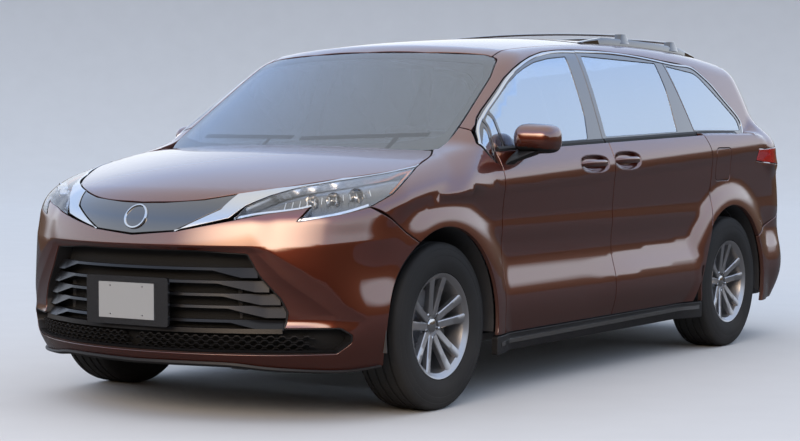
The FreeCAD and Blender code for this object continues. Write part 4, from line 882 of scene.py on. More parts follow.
wing_line = drawn(flat_of(LAMP, [WING_TIP, *WING_LOW[::-1], *WING_TOP]), 0.003)
add_panel("bright_wing", LAMP, low_body, moved_in(wing_line, 0.0012), "body", None, (CHROME, TRIM), "both", wall=0.014,
          grain=0.012, rim=0.002, sunk=-0.003)

# %% [markdown]
# ## Headlamps
# A headlamp is a clear cover over a dark bowl. The bowl here is the same outline, sunk by 45 mm and walled at its
# rim; in it stand bright reflector cups, so that light passes the cover, is caught by the cups and comes back.

# %% Cover, bowl and cups
def sunk_points(rays, field, flat, depth):
    """Points a given depth behind the skin, along the family's own rays."""
    flat = np.asarray(flat, float)
    return cast(rays, field, flat) - rays["direction"](flat) * np.reshape(depth, (-1, 1))


def rim_wall(rays, field, loop, depth, thick=0.002):
    """The wall round a bowl: a closed ring between the skin and the bowl's floor."""
    inner = moved_in(loop, thick)
    lines = ((loop, 0.004), (loop, depth), (inner, depth), (inner, 0.004))
    return grid_solid(np.stack([sunk_points(rays, field, line, d) for line, d in lines], 1), closed=True)


lamp_line = moved_in(drawn(flat_of(LAMP, [*LAMP_LOW, *LAMP_REAR[1:], *WING_LOW[:-1]]), 0.005, 0.010), 0.0015)
add_panel("lamp_cover", LAMP, low_body, lamp_line, "body", "headlamps", (LENS, LENS), "both", wall=0.003,
          grain=0.014, rim=0.0012)
add_panel("lamp_bowl", LAMP, low_body, moved_in(lamp_line, 0.003), "body", None, (GLOSS_BLACK, TRIM), "both",
          wall=0.003, grain=0.02, rim=0.001, sunk=0.045)
add_pieces("lamp_rim", [rim_wall(LAMP, low_body, lamp_line, 0.048)], slots=(GLOSS_BLACK,), sides="both")


def cup(place, radius, depth, tilt):
    """A bright cup: a paraboloid bowl, depth x (r/radius)^2 deep, closed by a small flat disc in its middle."""
    rings = [(0.15, 1.0), (0.4, 0.84), (0.7, 0.51), (1.0, 0.0), (1.06, 0.0), (1.06, 1.1), (0.15, 1.1)]
    a = angles(28)
    across = np.array((math.cos(tilt), math.sin(tilt), 0.0))
    ahead = np.array((math.sin(tilt), -math.cos(tilt), 0.0))
    points = [np.array(place) + radius * r * (np.cos(a)[:, None] * across + np.sin(a)[:, None] * UP) - ahead * depth * d
              for r, d in rings]
    return grid_solid(np.array(points))


CUPS = (((0.780, -2.175, 0.930), 0.030), ((0.840, -2.095, 0.945), 0.031), ((0.712, -2.232, 0.925), 0.026))
add_pieces("lamp_cups", [cup(place, radius, 0.03, math.radians(35)) for place, radius in CUPS], slots=(BRIGHT,),
           sides="both", crease=40)


def lamp_band(points, corners):
    """A bar behind the cover, along a line: each corner is (up, depth behind the skin)."""
    line = smooth(flat_of(LAMP, points), 0.008)
    return section_solid(lambda up, depth: sunk_points(LAMP, low_body, line + (0, up), depth), corners)


def lamp_fins(start, end, count, low, high):
    """Upright fins between two points of the lamp, each 3 mm thick and leaning back 6 mm."""
    start, end = flat_of(LAMP, [start, end])

    def fin(at):
        return section_solid(
            lambda w, depth: sunk_points(LAMP, low_body, np.array([at + (w, low), at + (w + 0.006, high)]), depth),
            ((0, 0.012), (0.003, 0.012), (0.003, 0.042), (0, 0.042)))

    return [fin(start * (1 - t) + end * t) for t in (np.arange(count) + 0.5) / count]


guide = lamp_band(LAMP_LOW[:4], [(0.006, 0.010), (0.014, 0.010), (0.014, 0.020), (0.006, 0.020)])
lower_guide = lamp_band(LAMP_LOW[4:], [(0.006, 0.008), (0.015, 0.008), (0.015, 0.018), (0.006, 0.018)])
shelf = lamp_band(WING_LOW[:-1], [(-0.006, 0.008), (-0.010, 0.008), (-0.030, 0.040), (-0.024, 0.040)])
fins = lamp_fins((0.62, -2.33, 0.905), (0.90, -2.05, 0.965), 13, -0.012, 0.020)
add_pieces("lamp_bars", [guide, lower_guide, shelf] + fins, slots=(BRIGHT,), sides="both", crease=30)
amber = lamp_band(LAMP_REAR[1:], [(0.004, 0.010), (0.012, 0.010), (0.012, 0.022), (0.004, 0.022)])
add_pieces("lamp_marker", [amber], slots=(AMBER,), sides="both", crease=30)

# %% [markdown]
# ## Grille
# The mouth is lined with black plastic 60 mm deep. Five slats cross it: thin in the middle, and past a kink on each
# side their lower edges drop until each blade fills its whole row. Each slat is a tube of four corners per station.

# %% Liner, a sheet of painted shade behind the mouth, slats
add_pieces("mouth_liner", [rim_wall(NOSE, low_body, mouth_line, 0.065, 0.004)], node="grille", slots=(TRIM,))
# A matte black sheet 66 mm behind the mouth is painted shade: it stands in for the dark depth behind the grille.
add_panel("mouth_shade_sheet", NOSE, low_body, moved_in(mouth_line, 0.003), "body", None, (DEEP, DEEP), "one",
          wall=0.004, grain=0.04, rim=0.001, sunk=0.066)
mouth_half = np.array(MOUTH[2:7])


def mouth_edge(z):
    """How far round the nose the mouth reaches at a height."""
    return float(np.interp(-z, -mouth_half[:, 1], mouth_half[:, 0]))


def slat(top, kink, full, drop, thin=0.011):
    """A slat across the mouth: thin in the middle, and past the kink its height grows until it is the full drop."""
    edge = mouth_edge(top - drop / 2) - 0.002
    s = np.unique(np.concatenate([np.linspace(-edge, edge, 61), [-full, -kink, kink, full]]))
    s = s[np.abs(s) <= edge]
    grown = np.clip((np.abs(s) - kink) / (full - kink), 0, 1)
    tall = thin + (drop - thin) * grown
    return section_solid(lambda down, depth: sunk_points(NOSE, low_body, np.stack([s, top - down], 1), depth),
                         ((0 * s, 0.020 + 0.016 * grown), (tall, 0.016), (tall, 0.046), (0 * s, 0.050)))


SLATS = ((0.652, 0.36, 0.47, 0.040), (0.598, 0.38, 0.52, 0.045), (0.545, 0.40, 0.54, 0.045),
         (0.495, 0.42, 0.56, 0.048), (0.437, 0.43, 0.54, 0.040))
add_pieces("grille_slats", [slat(*row) for row in SLATS], slots=(SLAT,), crease=25)

# %% [markdown]
# ## Doors, body side, roof and tail
# A door's painted skin ends at the belt; above it a gloss black frame holds the glass. The body side is one pressing
# from the windscreen pillar over the doors to the tail, with the quarter window and the fuel lid cut out.

# %% Doors
def belt_line(y0, y1, count=20, drop=0.006):
    y = np.linspace(y0, y1, count)
    return [(a, belt(a) - drop) for a in y]


def flat_side(points, rays=ACROSS, field=whole_body, radius=0.0, grain=0.012):
    """A side-view outline, with any corner radii, as the flat drawing of another family."""
    loop = rounded(points, radius, grain)
    if rays is not ACROSS:
        loop = flat_of(rays, from_side(loop, field))
    return left_turning(loop)


HANDLES = {"front": (-0.211, 1.059, 0.150, 0.044), "sliding": (0.146, 1.072, 0.150, 0.047)}


def oval(name, grow=0.0, count=48):
    """A rounded handle dish: |y|^2.6 + |z|^2.6 = 1, stretched to its half sizes."""
    y, z, a, b = HANDLES[name]
    t = angles(count)
    c, s = np.cos(t), np.sin(t)
    return np.stack([y + (a + grow) * np.sign(c) * np.abs(c) ** 0.77,
                     z + (b + grow) * np.sign(s) * np.abs(s) ** 0.77], 1)


door_low = [(-1.100, 0.290), (0.0, 0.290)] + belt_line(0.0, -1.100, 24)
add_panel("front_door_skin", ACROSS, whole_body, moved_in(flat_side(door_low), GAP), "front_door_{}_body",
          "front_door_{}", PAINTED, "both", holes=[oval("front")])
slide_low = [(0.0, 0.290)] + SLIDING_REAR[:1:-1] + belt_line(1.130, 0.0, 24)
add_panel("sliding_door_skin", ACROSS, whole_body, moved_in(flat_side(slide_low), GAP), "body", "sliding_door_{}",
          PAINTED, "both", holes=[oval("sliding")])


def dished(name):
    """The skin with a handle dish pressed into it, deepest in its middle."""
    y0, z0, a, b = HANDLES[name]

    def field(p):
        r = (np.abs(p[..., 1] - y0) / a) ** 2.6 + (np.abs(p[..., 2] - z0) / b) ** 2.6
        return whole_body(p) + 0.024 * step(1 - r, 0.0, 0.85)

    return field


def bar(name):
    """A pull bar: rounded sections along the dish, standing proud in the middle and diving in at both ends."""
    y0, z0, a, b = HANDLES[name]
    u = np.linspace(-1, 1, 33)
    y = y0 + u * a * 0.93
    base = from_side(np.stack([y, z0 + 0 * y], 1))
    out = slope_of(whole_body, base)
    lift = 0.016 - 0.028 * np.abs(u) ** 4
    t = angles(14)
    high, deep = 0.016 * (1 - 0.35 * u**4), 0.007
    c, s = np.cos(t)[None, :, None], np.sin(t)[None, :, None]
    return grid_solid(base[:, None] + out[:, None] * (lift[:, None, None] + deep * c) + UP * high[:, None, None] * s)


for which, body in (("front", "front_door_{}_body"), ("sliding", "body")):
    add_panel(which + "_handle_dish", ACROSS, dished(which), oval(which, -0.0006), body, None, PAINTED, "both",
              grain=0.008, wall=0.006, rim=0.001)
    add_pieces(which + "_handle_bar", [bar(which)], body, slots=(PAINT,), crease=60, sides="both")

# %% [markdown]
# The glass stands back from its frame by 3 mm. That small step is what the eye reads as a window and not as a sticker.

# %% Window frames and glass
BLACK_FRAME = (GLOSS_BLACK, TRIM)


def framed(name, outline, windows, body, node, glass_node):
    """A gloss black frame with its windows cut out, and the panes set 3 mm into it."""
    frame_flat = flat_side(outline, CANT, glasshouse, 0.004)
    cut = [flat_side(window, CANT, glasshouse, 0.012) for window in windows]
    add_panel(name, CANT, glasshouse, moved_in(frame_flat, GAP), body, node, BLACK_FRAME, "both", holes=cut, grain=0.03,
              wall=0.02)
    for i, hole in enumerate(cut):
        add_panel(f"{name}_pane{i}", CANT, glasshouse, moved_in(hole, 0.0006), body, glass_node, (GLASS, GLASS), "both",
                  grain=0.05, wall=0.004, rim=0.001, sunk=0.003)


framed("front_door_frame", [(-1.098, 1.090), (0.0, 1.100)] + DOOR_TOP[::-1], (FRONT_WINDOW, DOOR_PANE),
       "front_door_{}_body", "front_door_{}", "front_door_glass_{}")
framed("sliding_door_frame", SLIDING_TOP + SLIDING_REAR[1:3] + [(1.133, 1.150), (0.0, 1.130)], (SLIDING_WINDOW,),
       "body", "sliding_door_{}", "side_glass")
framed("quarter_frame", QUARTER_TOP + [(1.820, 1.180), (1.133, 1.180), (1.128, 1.212), (1.000, 1.575)],
       (QUARTER_WINDOW,), "body", None, "side_glass")
framed("pane_frame", PANE_EDGE, (FRONT_PANE,), "body", None, "side_glass")


def trim_strip(line, by, half=0.007, proud=0.0045):
    """A bright strip along a side-view line, moved over by a distance, on the glasshouse."""
    line = smooth([p[:2] for p in line], 0.02)
    path = from_side(line + to_the_left(line) * by, glasshouse)
    edge = [(-1.0, -0.004), (-1.0, proud * 0.5), (-0.6, proud)]
    profile = [(a * half, up) for a, up in edge] + [(-a * half, up) for a, up in reversed(edge)]
    return sweep(path, slope_of(glasshouse, path), profile, closed=False)


add_pieces("chrome_door", [trim_strip(DOOR_TOP, -0.010)], "front_door_{}_body", slots=(CHROME,), sides="both")
side_strips = [(PANE_EDGE[1:4], -0.009), (PANE_EDGE[3:], -0.009), ([(0.004, 1.636)] + SLIDING_TOP[1:], -0.010),
               (QUARTER_TOP, -0.010)]
add_pieces("chrome_side", [trim_strip(line, by) for line, by in side_strips], slots=(CHROME,), sides="both")

# %% [markdown]
# The body side goes round every opening, so its outline is collected from the panels that it meets.

# %% Body side
def from_behind(points):
    return cast(ASTERN, whole_body, rounded(points, 0.0, 0.02, False))


side_high = rounded([(0.785, 1.238)] + SCREEN_EDGE[2:6] + [(0.668, 1.578)], 0.0, 0.02, closed=False)
pillar = cast(AHEAD, glasshouse, side_high)
roof_seam = from_above([(0.664, y) for y in np.linspace(pillar[-1, 1] + 0.01, 2.046, 40)], glasshouse)
gate_high = from_behind([(0.671, 1.66), (0.671, 1.20), (0.718, 1.05), (0.718, 0.745)])
gate_high = gate_high[gate_high[:, 1] > 2.06]
LAMP_FOOT, LAMP_HEAD = 1.002, 1.118
lamp_cut = (gate_high[:, 2] > LAMP_FOOT) & (gate_high[:, 2] < LAMP_HEAD)
above_lamp, below_lamp = gate_high[gate_high[:, 2] >= LAMP_HEAD], gate_high[gate_high[:, 2] <= LAMP_FOOT]
lamp_front = from_side([(2.30, LAMP_HEAD), (1.95, LAMP_HEAD), (1.838, LAMP_HEAD), (1.805, 1.050), (1.95, 1.039),
                        (2.30, 1.014)])
bumper_top = from_side([(2.300, 0.742), (2.120, 0.705), (1.812, 0.618)])
low_edge = from_side(arch(REAR_AXLE, 34.5, 191))
door_side = from_side(rounded(SLIDING_REAR[::-1][1:], 0.0, 0.02, False))
roof_lines = from_side(SLIDING_TOP[::-1] + DOOR_TOP[-2::-1], glasshouse)
low_pillar = from_side([(-1.140, 1.249), (-1.180, 1.224)], glasshouse)
side_line = np.concatenate([pillar, roof_seam, above_lamp, lamp_front, below_lamp, bumper_top, low_edge, door_side,
                            roof_lines, low_pillar])
side_flat = drawn(flat_of(CANT, side_line), 0.003)
quarter_hole = flat_side(QUARTER_TOP + [(1.820, 1.205), (1.133, 1.205), (1.128, 1.212)], CANT, glasshouse, 0.004)
lid_hole = flat_side(FUEL_LID, CANT)
print("body side outline", len(side_flat), "points")
add_panel("body_side_skin", CANT, whole_body, moved_in(side_flat, GAP), "body", "body_side_{}", PAINTED, "both",
          holes=[moved_in(quarter_hole, -GAP), moved_in(lid_hole, -0.0012)], grain=0.026, wall=0.02)
add_panel("fuel_lid_skin", CANT, whole_body, moved_in(lid_hole, 0.0018), "fuel_door_body", "fuel_door", PAINTED, "one",
          wall=0.006)

# %% [markdown]
# The roof lies between the windscreen, the two body sides and the tailgate, and ends where the tailgate turns.

# %% Roof
screen_top = cast(AHEAD, glasshouse, [(0, 1.610), (0.33, 1.604), (0.620, 1.590), (0.664, 1.579)])
roof_line = drawn(both_halves([*screen_top[:, :2], (0.664, 1.968), (0, 1.968)]), 0.004)
add_panel("roof_skin", DOWN, glasshouse, moved_in(roof_line, GAP), "body", "roof_panel", PAINTED, "one", grain=0.04,
          wall=0.005)

# %% [markdown]
# The windscreen has a black printed border that hides the glue, so it is two sheets: the glass and a ring behind it.

# %% Windscreen
screen_line = moved_in(drawn(both_halves([(0, 1.110), (0.560, 1.122)] + SCREEN_EDGE), 0.01), GAP)
border_hole = rounded(both_halves([(0, 1.150), (0.545, 1.163), (0.755, 1.190), (0.712, 1.460), (0.670, 1.540),
                                   (0.31, 1.568), (0, 1.575)]), 0.03)
add_panel("windscreen_glass", AHEAD, glasshouse, screen_line, "body", "windshield", (SCREEN, SCREEN), "one", grain=0.04,
          wall=0.005, rim=0.0015)
add_panel("windscreen_border", AHEAD, glasshouse, screen_line, "body", None, (GLOSS_BLACK, DEEP), "one", grain=0.04,
          wall=0.002, rim=0.0005, sunk=0.0055, holes=[border_hole])

# %% [markdown]
# The tailgate is drawn on rays fanned out from a bar across the van, so that its roof spoiler, its window and its lower
# half are one sheet.

# %% Tailgate and rear bumper
def round_bar(y0, z0, scale, near, far):
    """Rays fanned out from a bar across the van at (y0, z0): the flat drawing is (x, angle x scale)."""
    return fan(
        lambda uv: np.stack([uv[:, 0], np.full(len(uv), y0), np.full(len(uv), z0)], 1),
        lambda uv: np.stack([0 * uv[:, 0], np.cos(uv[:, 1] / scale), np.sin(uv[:, 1] / scale)], 1),
        near, far,
        lambda p: np.stack([p[:, 0], np.arctan2(p[:, 2] - z0, p[:, 1] - y0) * scale], 1))


GATE = round_bar(1.70, 1.20, 0.60, 0.0, 1.4)
gate_side = from_behind([(0.713, 0.748), (0.713, 1.05), (0.666, 1.20), (0.666, 1.64)])
# from the foot's middle up the side, and forwards over the roof's edge to the middle again
gate_half = [*cast(ASTERN, whole_body, [(0, 0.748)]), *gate_side[gate_side[:, 1] > 2.1],
             *from_above([(0.666, 2.12), (0.666, 1.974), (0, 1.974)], glasshouse)]
gate_line = drawn(both_halves(flat_of(GATE, gate_half)), 0.006)


def on_gate(points, radius):
    return left_turning(flat_of(GATE, cast(ASTERN, whole_body, rounded(points, radius))))


rear_window = on_gate([(-0.600, 1.180), (0.600, 1.180), (0.575, 1.560), (-0.575, 1.560)], 0.06)
gate_lamps = [on_gate([(way * 0.380, 1.004), (way * 0.690, 1.004), (way * 0.690, 1.116), (way * 0.380, 1.116)], 0.012)
              for way in (1, -1)]
add_panel("tailgate_skin", GATE, whole_body, moved_in(gate_line, GAP), "tailgate_body", "tailgate", PAINTED, "one",
          holes=[rear_window] + gate_lamps, wall=0.02)
add_panel("tailgate_window", GATE, whole_body, moved_in(rear_window, 0.001), "tailgate_body", "tailgate_glass",
          (GLASS, GLASS), "one", wall=0.004, rim=0.001, sunk=0.003, grain=0.04)
add_panel("tailgate_lamp", GATE, whole_body, moved_in(gate_lamps[0], 0.001), "tailgate_body", "tailgate_lamps",
          (RED_LENS, TRIM), "both", wall=0.012)

tail_flat = drawn(flat_of(CANT, [*lamp_front, *gate_high[lamp_cut]]), 0.004)
add_panel("tail_lamp", CANT, whole_body, moved_in(tail_flat, 0.002), "body", "tail_lamps", (RED_LENS, TRIM), "both",
          wall=0.014, sunk=-0.002)

rear_side = flat_of(TAIL, [*from_side(arch(REAR_AXLE, -19, 34)), *bumper_top[::-1]])
rear_line = drawn(both_halves([(0, 0.235), *rear_side, (0, 0.742)]), 0.006)
add_panel("rear_bumper_skin", TAIL, low_body, moved_in(rear_line, GAP), "body", "rear_bumper", PAINTED, "one",
          wall=0.02)

skirt_line = [(-1.192, 0.200), (1.020, 0.200), (1.020, 0.286), (-1.192, 0.286)]
add_panel("side_skirt_skin", ACROSS, low_body, flat_side(skirt_line, radius=0.01), "body", "side_skirts",
          (TRIM, TRIM), "both", wall=0.03, rim=0.004)

# %% [markdown]
# ## Wheels
# A tyre and a rim are turned on a lathe, in effect: a closed outline is swept round the axle. The spokes are not; each
# of the ten is a tapered bar whose section runs from the hub to the rim, leaning away from its twin.

# %% Tyre and rim outlines: across the wheel, distance from the axle
def tyre_outline():
    """Bead, bulged wall, shoulder and tread with four grooves, as one closed loop."""
    wall = [(0.0955, 0.2185), (0.0955, 0.2355), (0.1055, 0.2360), (0.1115, 0.2520), (0.1160, 0.2720), (0.1172, 0.2860),
            (0.1165, 0.3000), (0.1150, 0.3100), (0.1156, 0.3110), (0.1148, 0.3200), (0.1125, 0.3310), (0.1100, 0.3380),
            (0.1106, 0.3392), (0.1070, 0.3500), (0.1020, 0.3590), (0.0960, 0.3640), (0.0860, 0.3668)]
    tread = []
    for middle in (0.066, 0.022):
        tread += [(middle + 0.006, 0.3682), (middle + 0.004, 0.3605), (middle - 0.004, 0.3605),
                  (middle - 0.006, 0.3683)]
    half = wall + tread
    return half + [(-a, r) for a, r in reversed(half)]


RIM = [(-0.103, 0.2335), (-0.103, 0.203), (0.060, 0.200), (0.088, 0.208), (0.0975, 0.2200), (0.1035, 0.2265),
       (0.1050, 0.2320), (0.1010, 0.2335), (0.0955, 0.2325), (0.0945, 0.2175), (-0.0945, 0.2175), (-0.0955, 0.2335)]
DISC = [(-0.036, 0.020), (-0.036, 0.158), (-0.014, 0.158), (-0.014, 0.080), (0.004, 0.076), (0.004, 0.020)]
HUB = [(-0.100, 0.001), (-0.100, 0.020), (-0.030, 0.020), (-0.018, 0.074), (0.034, 0.076), (0.046, 0.072),
       (0.050, 0.040), (0.050, 0.001)]
CAP = [(0.049, 0.0005), (0.049, 0.033), (0.056, 0.0325), (0.060, 0.029), (0.0625, 0.020), (0.0635, 0.0005)]


def spoke(turn, lean, wide=(0.036, 0.034, 0.043)):
    """One bar from the hub to the rim. Stations along it are (distance out, sideways shift, height, width)."""
    r = np.linspace(0, 1, 13)
    out = 0.045 + r * 0.172
    shift = lean * (0.0165 + 0.034 * r**1.10)
    face = 0.062 + 0.012 * np.sin(np.pi * r * 0.6) + 0.022 * r**2.2
    width = np.interp(r, (0, 0.5, 1), wide)
    deep = 0.030 - 0.010 * r
    section = ((-0.5, -1.0), (-0.5, -0.12), (-0.38, 0.0), (0.38, 0.0), (0.5, -0.12), (0.5, -1.0))
    p = np.stack([np.stack([face + down * deep, shift + across * width, out], 1) for across, down in section], 1)
    c, s = math.cos(turn), math.sin(turn)
    return np.stack([p[..., 0], p[..., 1] * c + p[..., 2] * s, p[..., 2] * c - p[..., 1] * s], -1)


def placed(verts, x, y):
    way = 1 if x > 0 else -1
    return np.stack([x + way * verts[..., 0], y + verts[..., 1], WHEEL_Z + verts[..., 2]], -1)


BOLT_R = 0.05715


def nuts(x, y):
    """Five nuts on a 114.3 mm circle: short twelve-sided domes."""
    t = angles(12)
    out = []
    for a in 2 * np.pi * (np.arange(5) + 0.5) / 5:
        y0, z0 = BOLT_R * math.sin(a), BOLT_R * math.cos(a)
        rings = [np.stack([0.030 + h + 0 * t, y0 + r * np.cos(t), z0 + r * np.sin(t)], -1)
                 for h, r in ((0, 0.0105), (0.030, 0.0105), (0.034, 0.007), (0.0345, 0.001))]
        out.append(grid_solid(placed(np.array(rings), x, y)))
    return out


def turned_at(outline, x, y, around=96):
    way = 1 if x > 0 else -1
    return turned([(way * a, r) for a, r in outline], x, y, WHEEL_Z, around)


WHEELS = (("front_left", 0.855, FRONT_AXLE), ("front_right", -0.855, FRONT_AXLE), ("rear_left", 0.8625, REAR_AXLE),
          ("rear_right", -0.8625, REAR_AXLE))
for name, x, y in WHEELS:
    body = "wheel_" + name + "_body"
    add_pieces("rubber_" + name, [turned_at(tyre_outline(), x, y, 128)], body, "tyre_" + name, (RUBBER,), crease=28)
    bars = [grid_solid(placed(spoke(2 * np.pi * i / 5, lean), x, y)) for i in range(5) for lean in (-1, 1)]
    add_pieces("alloy_" + name, [turned_at(RIM, x, y), turned_at(HUB, x, y, 48)] + bars, body, "wheel_" + name,
               (ALLOY,), crease=32)
    add_pieces("wheel_cap_" + name, [turned_at(CAP, x, y, 48)] + nuts(x, y), body, slots=(CHROME,), crease=30)
    add_pieces("brake_disc_" + name, [turned_at(DISC, x, y, 64)], body, slots=(STEEL,), crease=30)

# %% [markdown]
# ## Small outside pieces
# Mirrors, roof bars, bumper lip, intake mesh, plate carrier, the plain nose disc, bright skirt strip and arch liners.

# %% Mirrors
MIRROR_X, MIRROR_BACK = (0.930, 1.1275), -0.800


def mirror_shell(stations=30, around=40):
    """A pod: rounded-square sections |y|^n + |z|^n = 1 along x, closed at both ends by a quarter ellipse in height
    and cut flat behind the glass."""
    u = np.linspace(0, 1, stations)
    t = angles(around)
    x = MIRROR_X[0] + (MIRROR_X[1] - MIRROR_X[0]) * (0.5 - 0.5 * np.cos(np.pi * u))
    w = (x - MIRROR_X[0]) / (MIRROR_X[1] - MIRROR_X[0])
    close = np.clip(1 - np.abs(2 * w - 1) ** 5, 0, 1) ** (1 / 2.4)
    tall = (0.074 - 0.010 * w) * np.maximum(close, 0.02)
    deep = (0.098 - 0.020 * w) * np.maximum(close, 0.02)
    mid_z = 1.186 - 0.004 * w
    mid_y = -0.890 + 0.020 * w
    c, s = np.cos(t), np.sin(t)
    power = 2 / 2.8
    y = mid_y[:, None] + deep[:, None] * np.sign(c) * np.abs(c) ** power
    z = mid_z[:, None] + tall[:, None] * np.sign(s) * np.abs(s) ** power * (1 + 0.10 * c)
    y = np.minimum(y, MIRROR_BACK + 0.02 * (1 - w[:, None]))
    return np.stack([np.broadcast_to(x[:, None], y.shape), y, z], -1)


def bar_between(sections):
    """A solid through rectangles (x0, x1, y0, y1, z) with rounded corners."""
    rings = []
    for x0, x1, y0, y1, z in sections:
        loop = rounded([(x0, y0), (x1, y0), (x1, y1), (x0, y1)], 0.28 * min(x1 - x0, y1 - y0), 10.0)
        rings.append(np.column_stack([loop, np.full(len(loop), z)]))
    return grid_solid(np.array(rings))


points, faces = grid_solid(mirror_shell())
middle = points[faces].mean(1)
split = 1.148 - 0.012 * (middle[:, 0] - 1.0) / 0.1
black = (middle[:, 2] < split) | (middle[:, 1] > MIRROR_BACK - 0.002)
add_sides("mirror_cap", (points, faces, None), "front_door_{}_body", "mirror_{}", (PAINT, TRIM), "both",
          black.astype(int), 40)
arm = bar_between([(0.905, 0.958, -1.075, -0.985, 1.060), (0.915, 0.975, -1.050, -0.965, 1.080),
                   (0.935, 1.015, -0.995, -0.880, 1.104), (0.945, 1.060, -0.965, -0.840, 1.126)])
add_pieces("mirror_arm", [arm], "front_door_{}_body", slots=(TRIM,), sides="both", crease=50)
face_loop = rounded([(0.956, 1.132), (1.106, 1.136), (1.104, 1.234), (0.956, 1.240)], 0.03, 0.02)
back_y = MIRROR_BACK + 0.02 * (1 - (face_loop[:, 0] - MIRROR_X[0]) / (MIRROR_X[1] - MIRROR_X[0]))
face_rings = np.stack([np.column_stack([face_loop[:, 0], back_y + d, face_loop[:, 1]]) for d in (-0.004, 0.0015)])
add_pieces("mirror_glass", [grid_solid(face_rings)], "front_door_{}_body", slots=(BRIGHT,), sides="both")

# %% [markdown]
# The roof bars are low blades that follow the roof, with two crossbars clamped to them.

# %% Roof bars
def roof_top(x, y):
    return crown_height(roof_at, ROOF_SPAN, x, y)


def long_bar():
    """A low blade on the roof's side, pointed at both ends: height above the roof = 0.034 m x a quick rise and fall."""
    y = np.linspace(0.335, 1.735, 71)
    u = (y - y[0]) / (y[-1] - y[0])
    x = 0.612 - 0.02 * (2 * u - 1) ** 2
    high = 0.006 + 0.028 * np.minimum(1, np.minimum(u, 1 - u) / 0.16) ** 0.7
    top = roof_top(x, y) + high
    tall = high + 0.006
    return section_solid(lambda across, up: np.stack([x + across, y, top + up * tall], 1),
                         ((-0.016, -1), (-0.016, -0.25), (-0.010, 0), (0.010, 0), (0.016, -0.25), (0.016, -1)))


def foot(y, length):
    """The clamp that holds a crossbar on the rail: a wedge that leans towards the middle of the roof."""
    x, top = 0.608, roof_top(0.61, y)
    return bar_between([(x - 0.022, x + 0.020, y - length, y + length, top + 0.010),
                        (x - 0.034, x + 0.012, y - length * 0.5, y + length * 0.5, top + 0.062)])


def cross_bar(y):
    """A bar from rail to rail, arched over the roof."""
    x = np.linspace(-0.60, 0.60, 41)
    z = roof_top(0.6, y) + 0.056 + (1.768 - roof_top(0.6, y) - 0.056) * (1 - (x / 0.6) ** 2)
    oval = [(0.026 * math.cos(a), 0.007 * math.sin(a) - 0.004) for a in angles(12)]
    return section_solid(lambda ahead, up: np.stack([x, y + ahead + 0 * x, z + up], 1), oval)


CLAMPS = (0.80, 1.42)
rails = [long_bar()] + [foot(y, 0.060) for y in CLAMPS]
add_pieces("roof_bars", rails + [mirror_of(*rail)[:2] for rail in rails] + [cross_bar(y) for y in CLAMPS],
           node="roof_rails", slots=(GLOSS_BLACK,))

# %% [markdown]
# These pieces hang on the nose. All but the flat plate carrier are drawn on the same rays as the bumper, so they follow
# its curve.

# %% Bumper lip, intake mesh, plate carrier and nose disc
def lip():
    """A blade under the bumper: it follows the bumper's lower edge and stands out from it."""
    line = smooth([(0.0, 0.258), (0.35, 0.260), (0.45, 0.256), (0.54, 0.244), (0.71, 0.230), (0.811, 0.226),
                   (0.945, 0.240)], 0.02)
    line = np.concatenate([line[::-1] * (-1, 1), line[1:]])
    high = np.interp(np.abs(line[:, 0]), (0, 0.4, 0.6, 0.95), (0.022, 0.022, 0.018, 0.010))
    return section_solid(
        lambda proud, up: sunk_points(NOSE, low_body, line + np.column_stack([0 * high, high * up]), -proud),
        ((-0.012, 0.0), (0.006, 0.0), (0.016, -0.45), (0.016, -0.75), (0.004, -1.0), (-0.030, -1.0)))


def honeycomb(s0, s1, z0, z1, pitch=0.040, tall=0.017, bar=0.0035):
    """Rows of flat hexagons: each bar is a slender box between two corners, thrown on the sunk skin."""
    out = []
    for row in range(int((z1 - z0) / tall) + 1):
        z = z0 + row * tall
        for s in np.arange(s0 + (row % 2) * pitch / 2, s1 - pitch, pitch):
            path = np.array([(s, z), (s + pitch * 0.18, z + tall / 2), (s + pitch * 0.5, z + tall / 2),
                             (s + pitch * 0.68, z), (s + pitch, z)])
            out.append(section_solid(lambda up, depth: sunk_points(NOSE, low_body, path + (0, up), depth),
                                     ((bar / 2, 0.030), (-bar / 2, 0.030), (-bar / 2, 0.050), (bar / 2, 0.050))))
    return out


add_pieces("bumper_lip", [lip()], slots=(TRIM,), crease=40)
mesh_left = honeycomb(0.02, 0.74, 0.312, 0.372)
add_pieces("intake_mesh", mesh_left + [mirror_of(*bar)[:2] for bar in mesh_left], slots=(TRIM,))


def band(low, high, near, far, reach):
    """A level bar across the mouth between two heights."""
    s = np.linspace(-reach, reach, 81)
    return section_solid(lambda z, depth: sunk_points(NOSE, low_body, np.column_stack([s, 0 * s + z]), depth),
                         ((high, near), (low, near + 0.004), (low, far), (high, far)))


add_pieces("mouth_bands", [band(0.383, 0.402, 0.014, 0.055, 0.612), band(0.296, 0.312, 0.010, 0.055, 0.80)],
           slots=(SLAT,), crease=30)


def flat_plate(width, height, z, near, thick, radius):
    """A flat plate square to the van's length, with rounded corners."""
    w, low, high = width / 2, z - height / 2, z + height / 2
    loop = rounded([(-w, low), (w, low), (w, high), (-w, high)], radius, 0.05)
    return grid_solid(np.stack([np.column_stack([loop[:, 0], 0 * loop[:, 0] + near + d, loop[:, 1]])
                                for d in (0, thick)]))


add_pieces("plate_carrier", [flat_plate(0.450, 0.205, 0.506, -2.5825, 0.012, 0.012)], slots=(GLOSS_BLACK,), crease=30)

a = angles(72)
ring_line = np.stack([0.053 * np.cos(a), 0.858 + 0.046 * np.sin(a)], 1)
ring_path = cast(NOSE, low_body, ring_line)
ring_profile = [(-0.006, -0.002), (-0.006, 0.003), (-0.003, 0.007), (0.003, 0.007), (0.006, 0.003), (0.006, -0.002)]
add_pieces("nose_ring", [sweep(ring_path, slope_of(low_body, ring_path), ring_profile)], slots=(CHROME,), crease=50)
add_panel("nose_disc", NOSE, low_body, moved_in(ring_line, 0.004), "body", None, (GLOSS_BLACK, TRIM), "one", grain=0.01,
          wall=0.006, rim=0.001, sunk=-0.002)

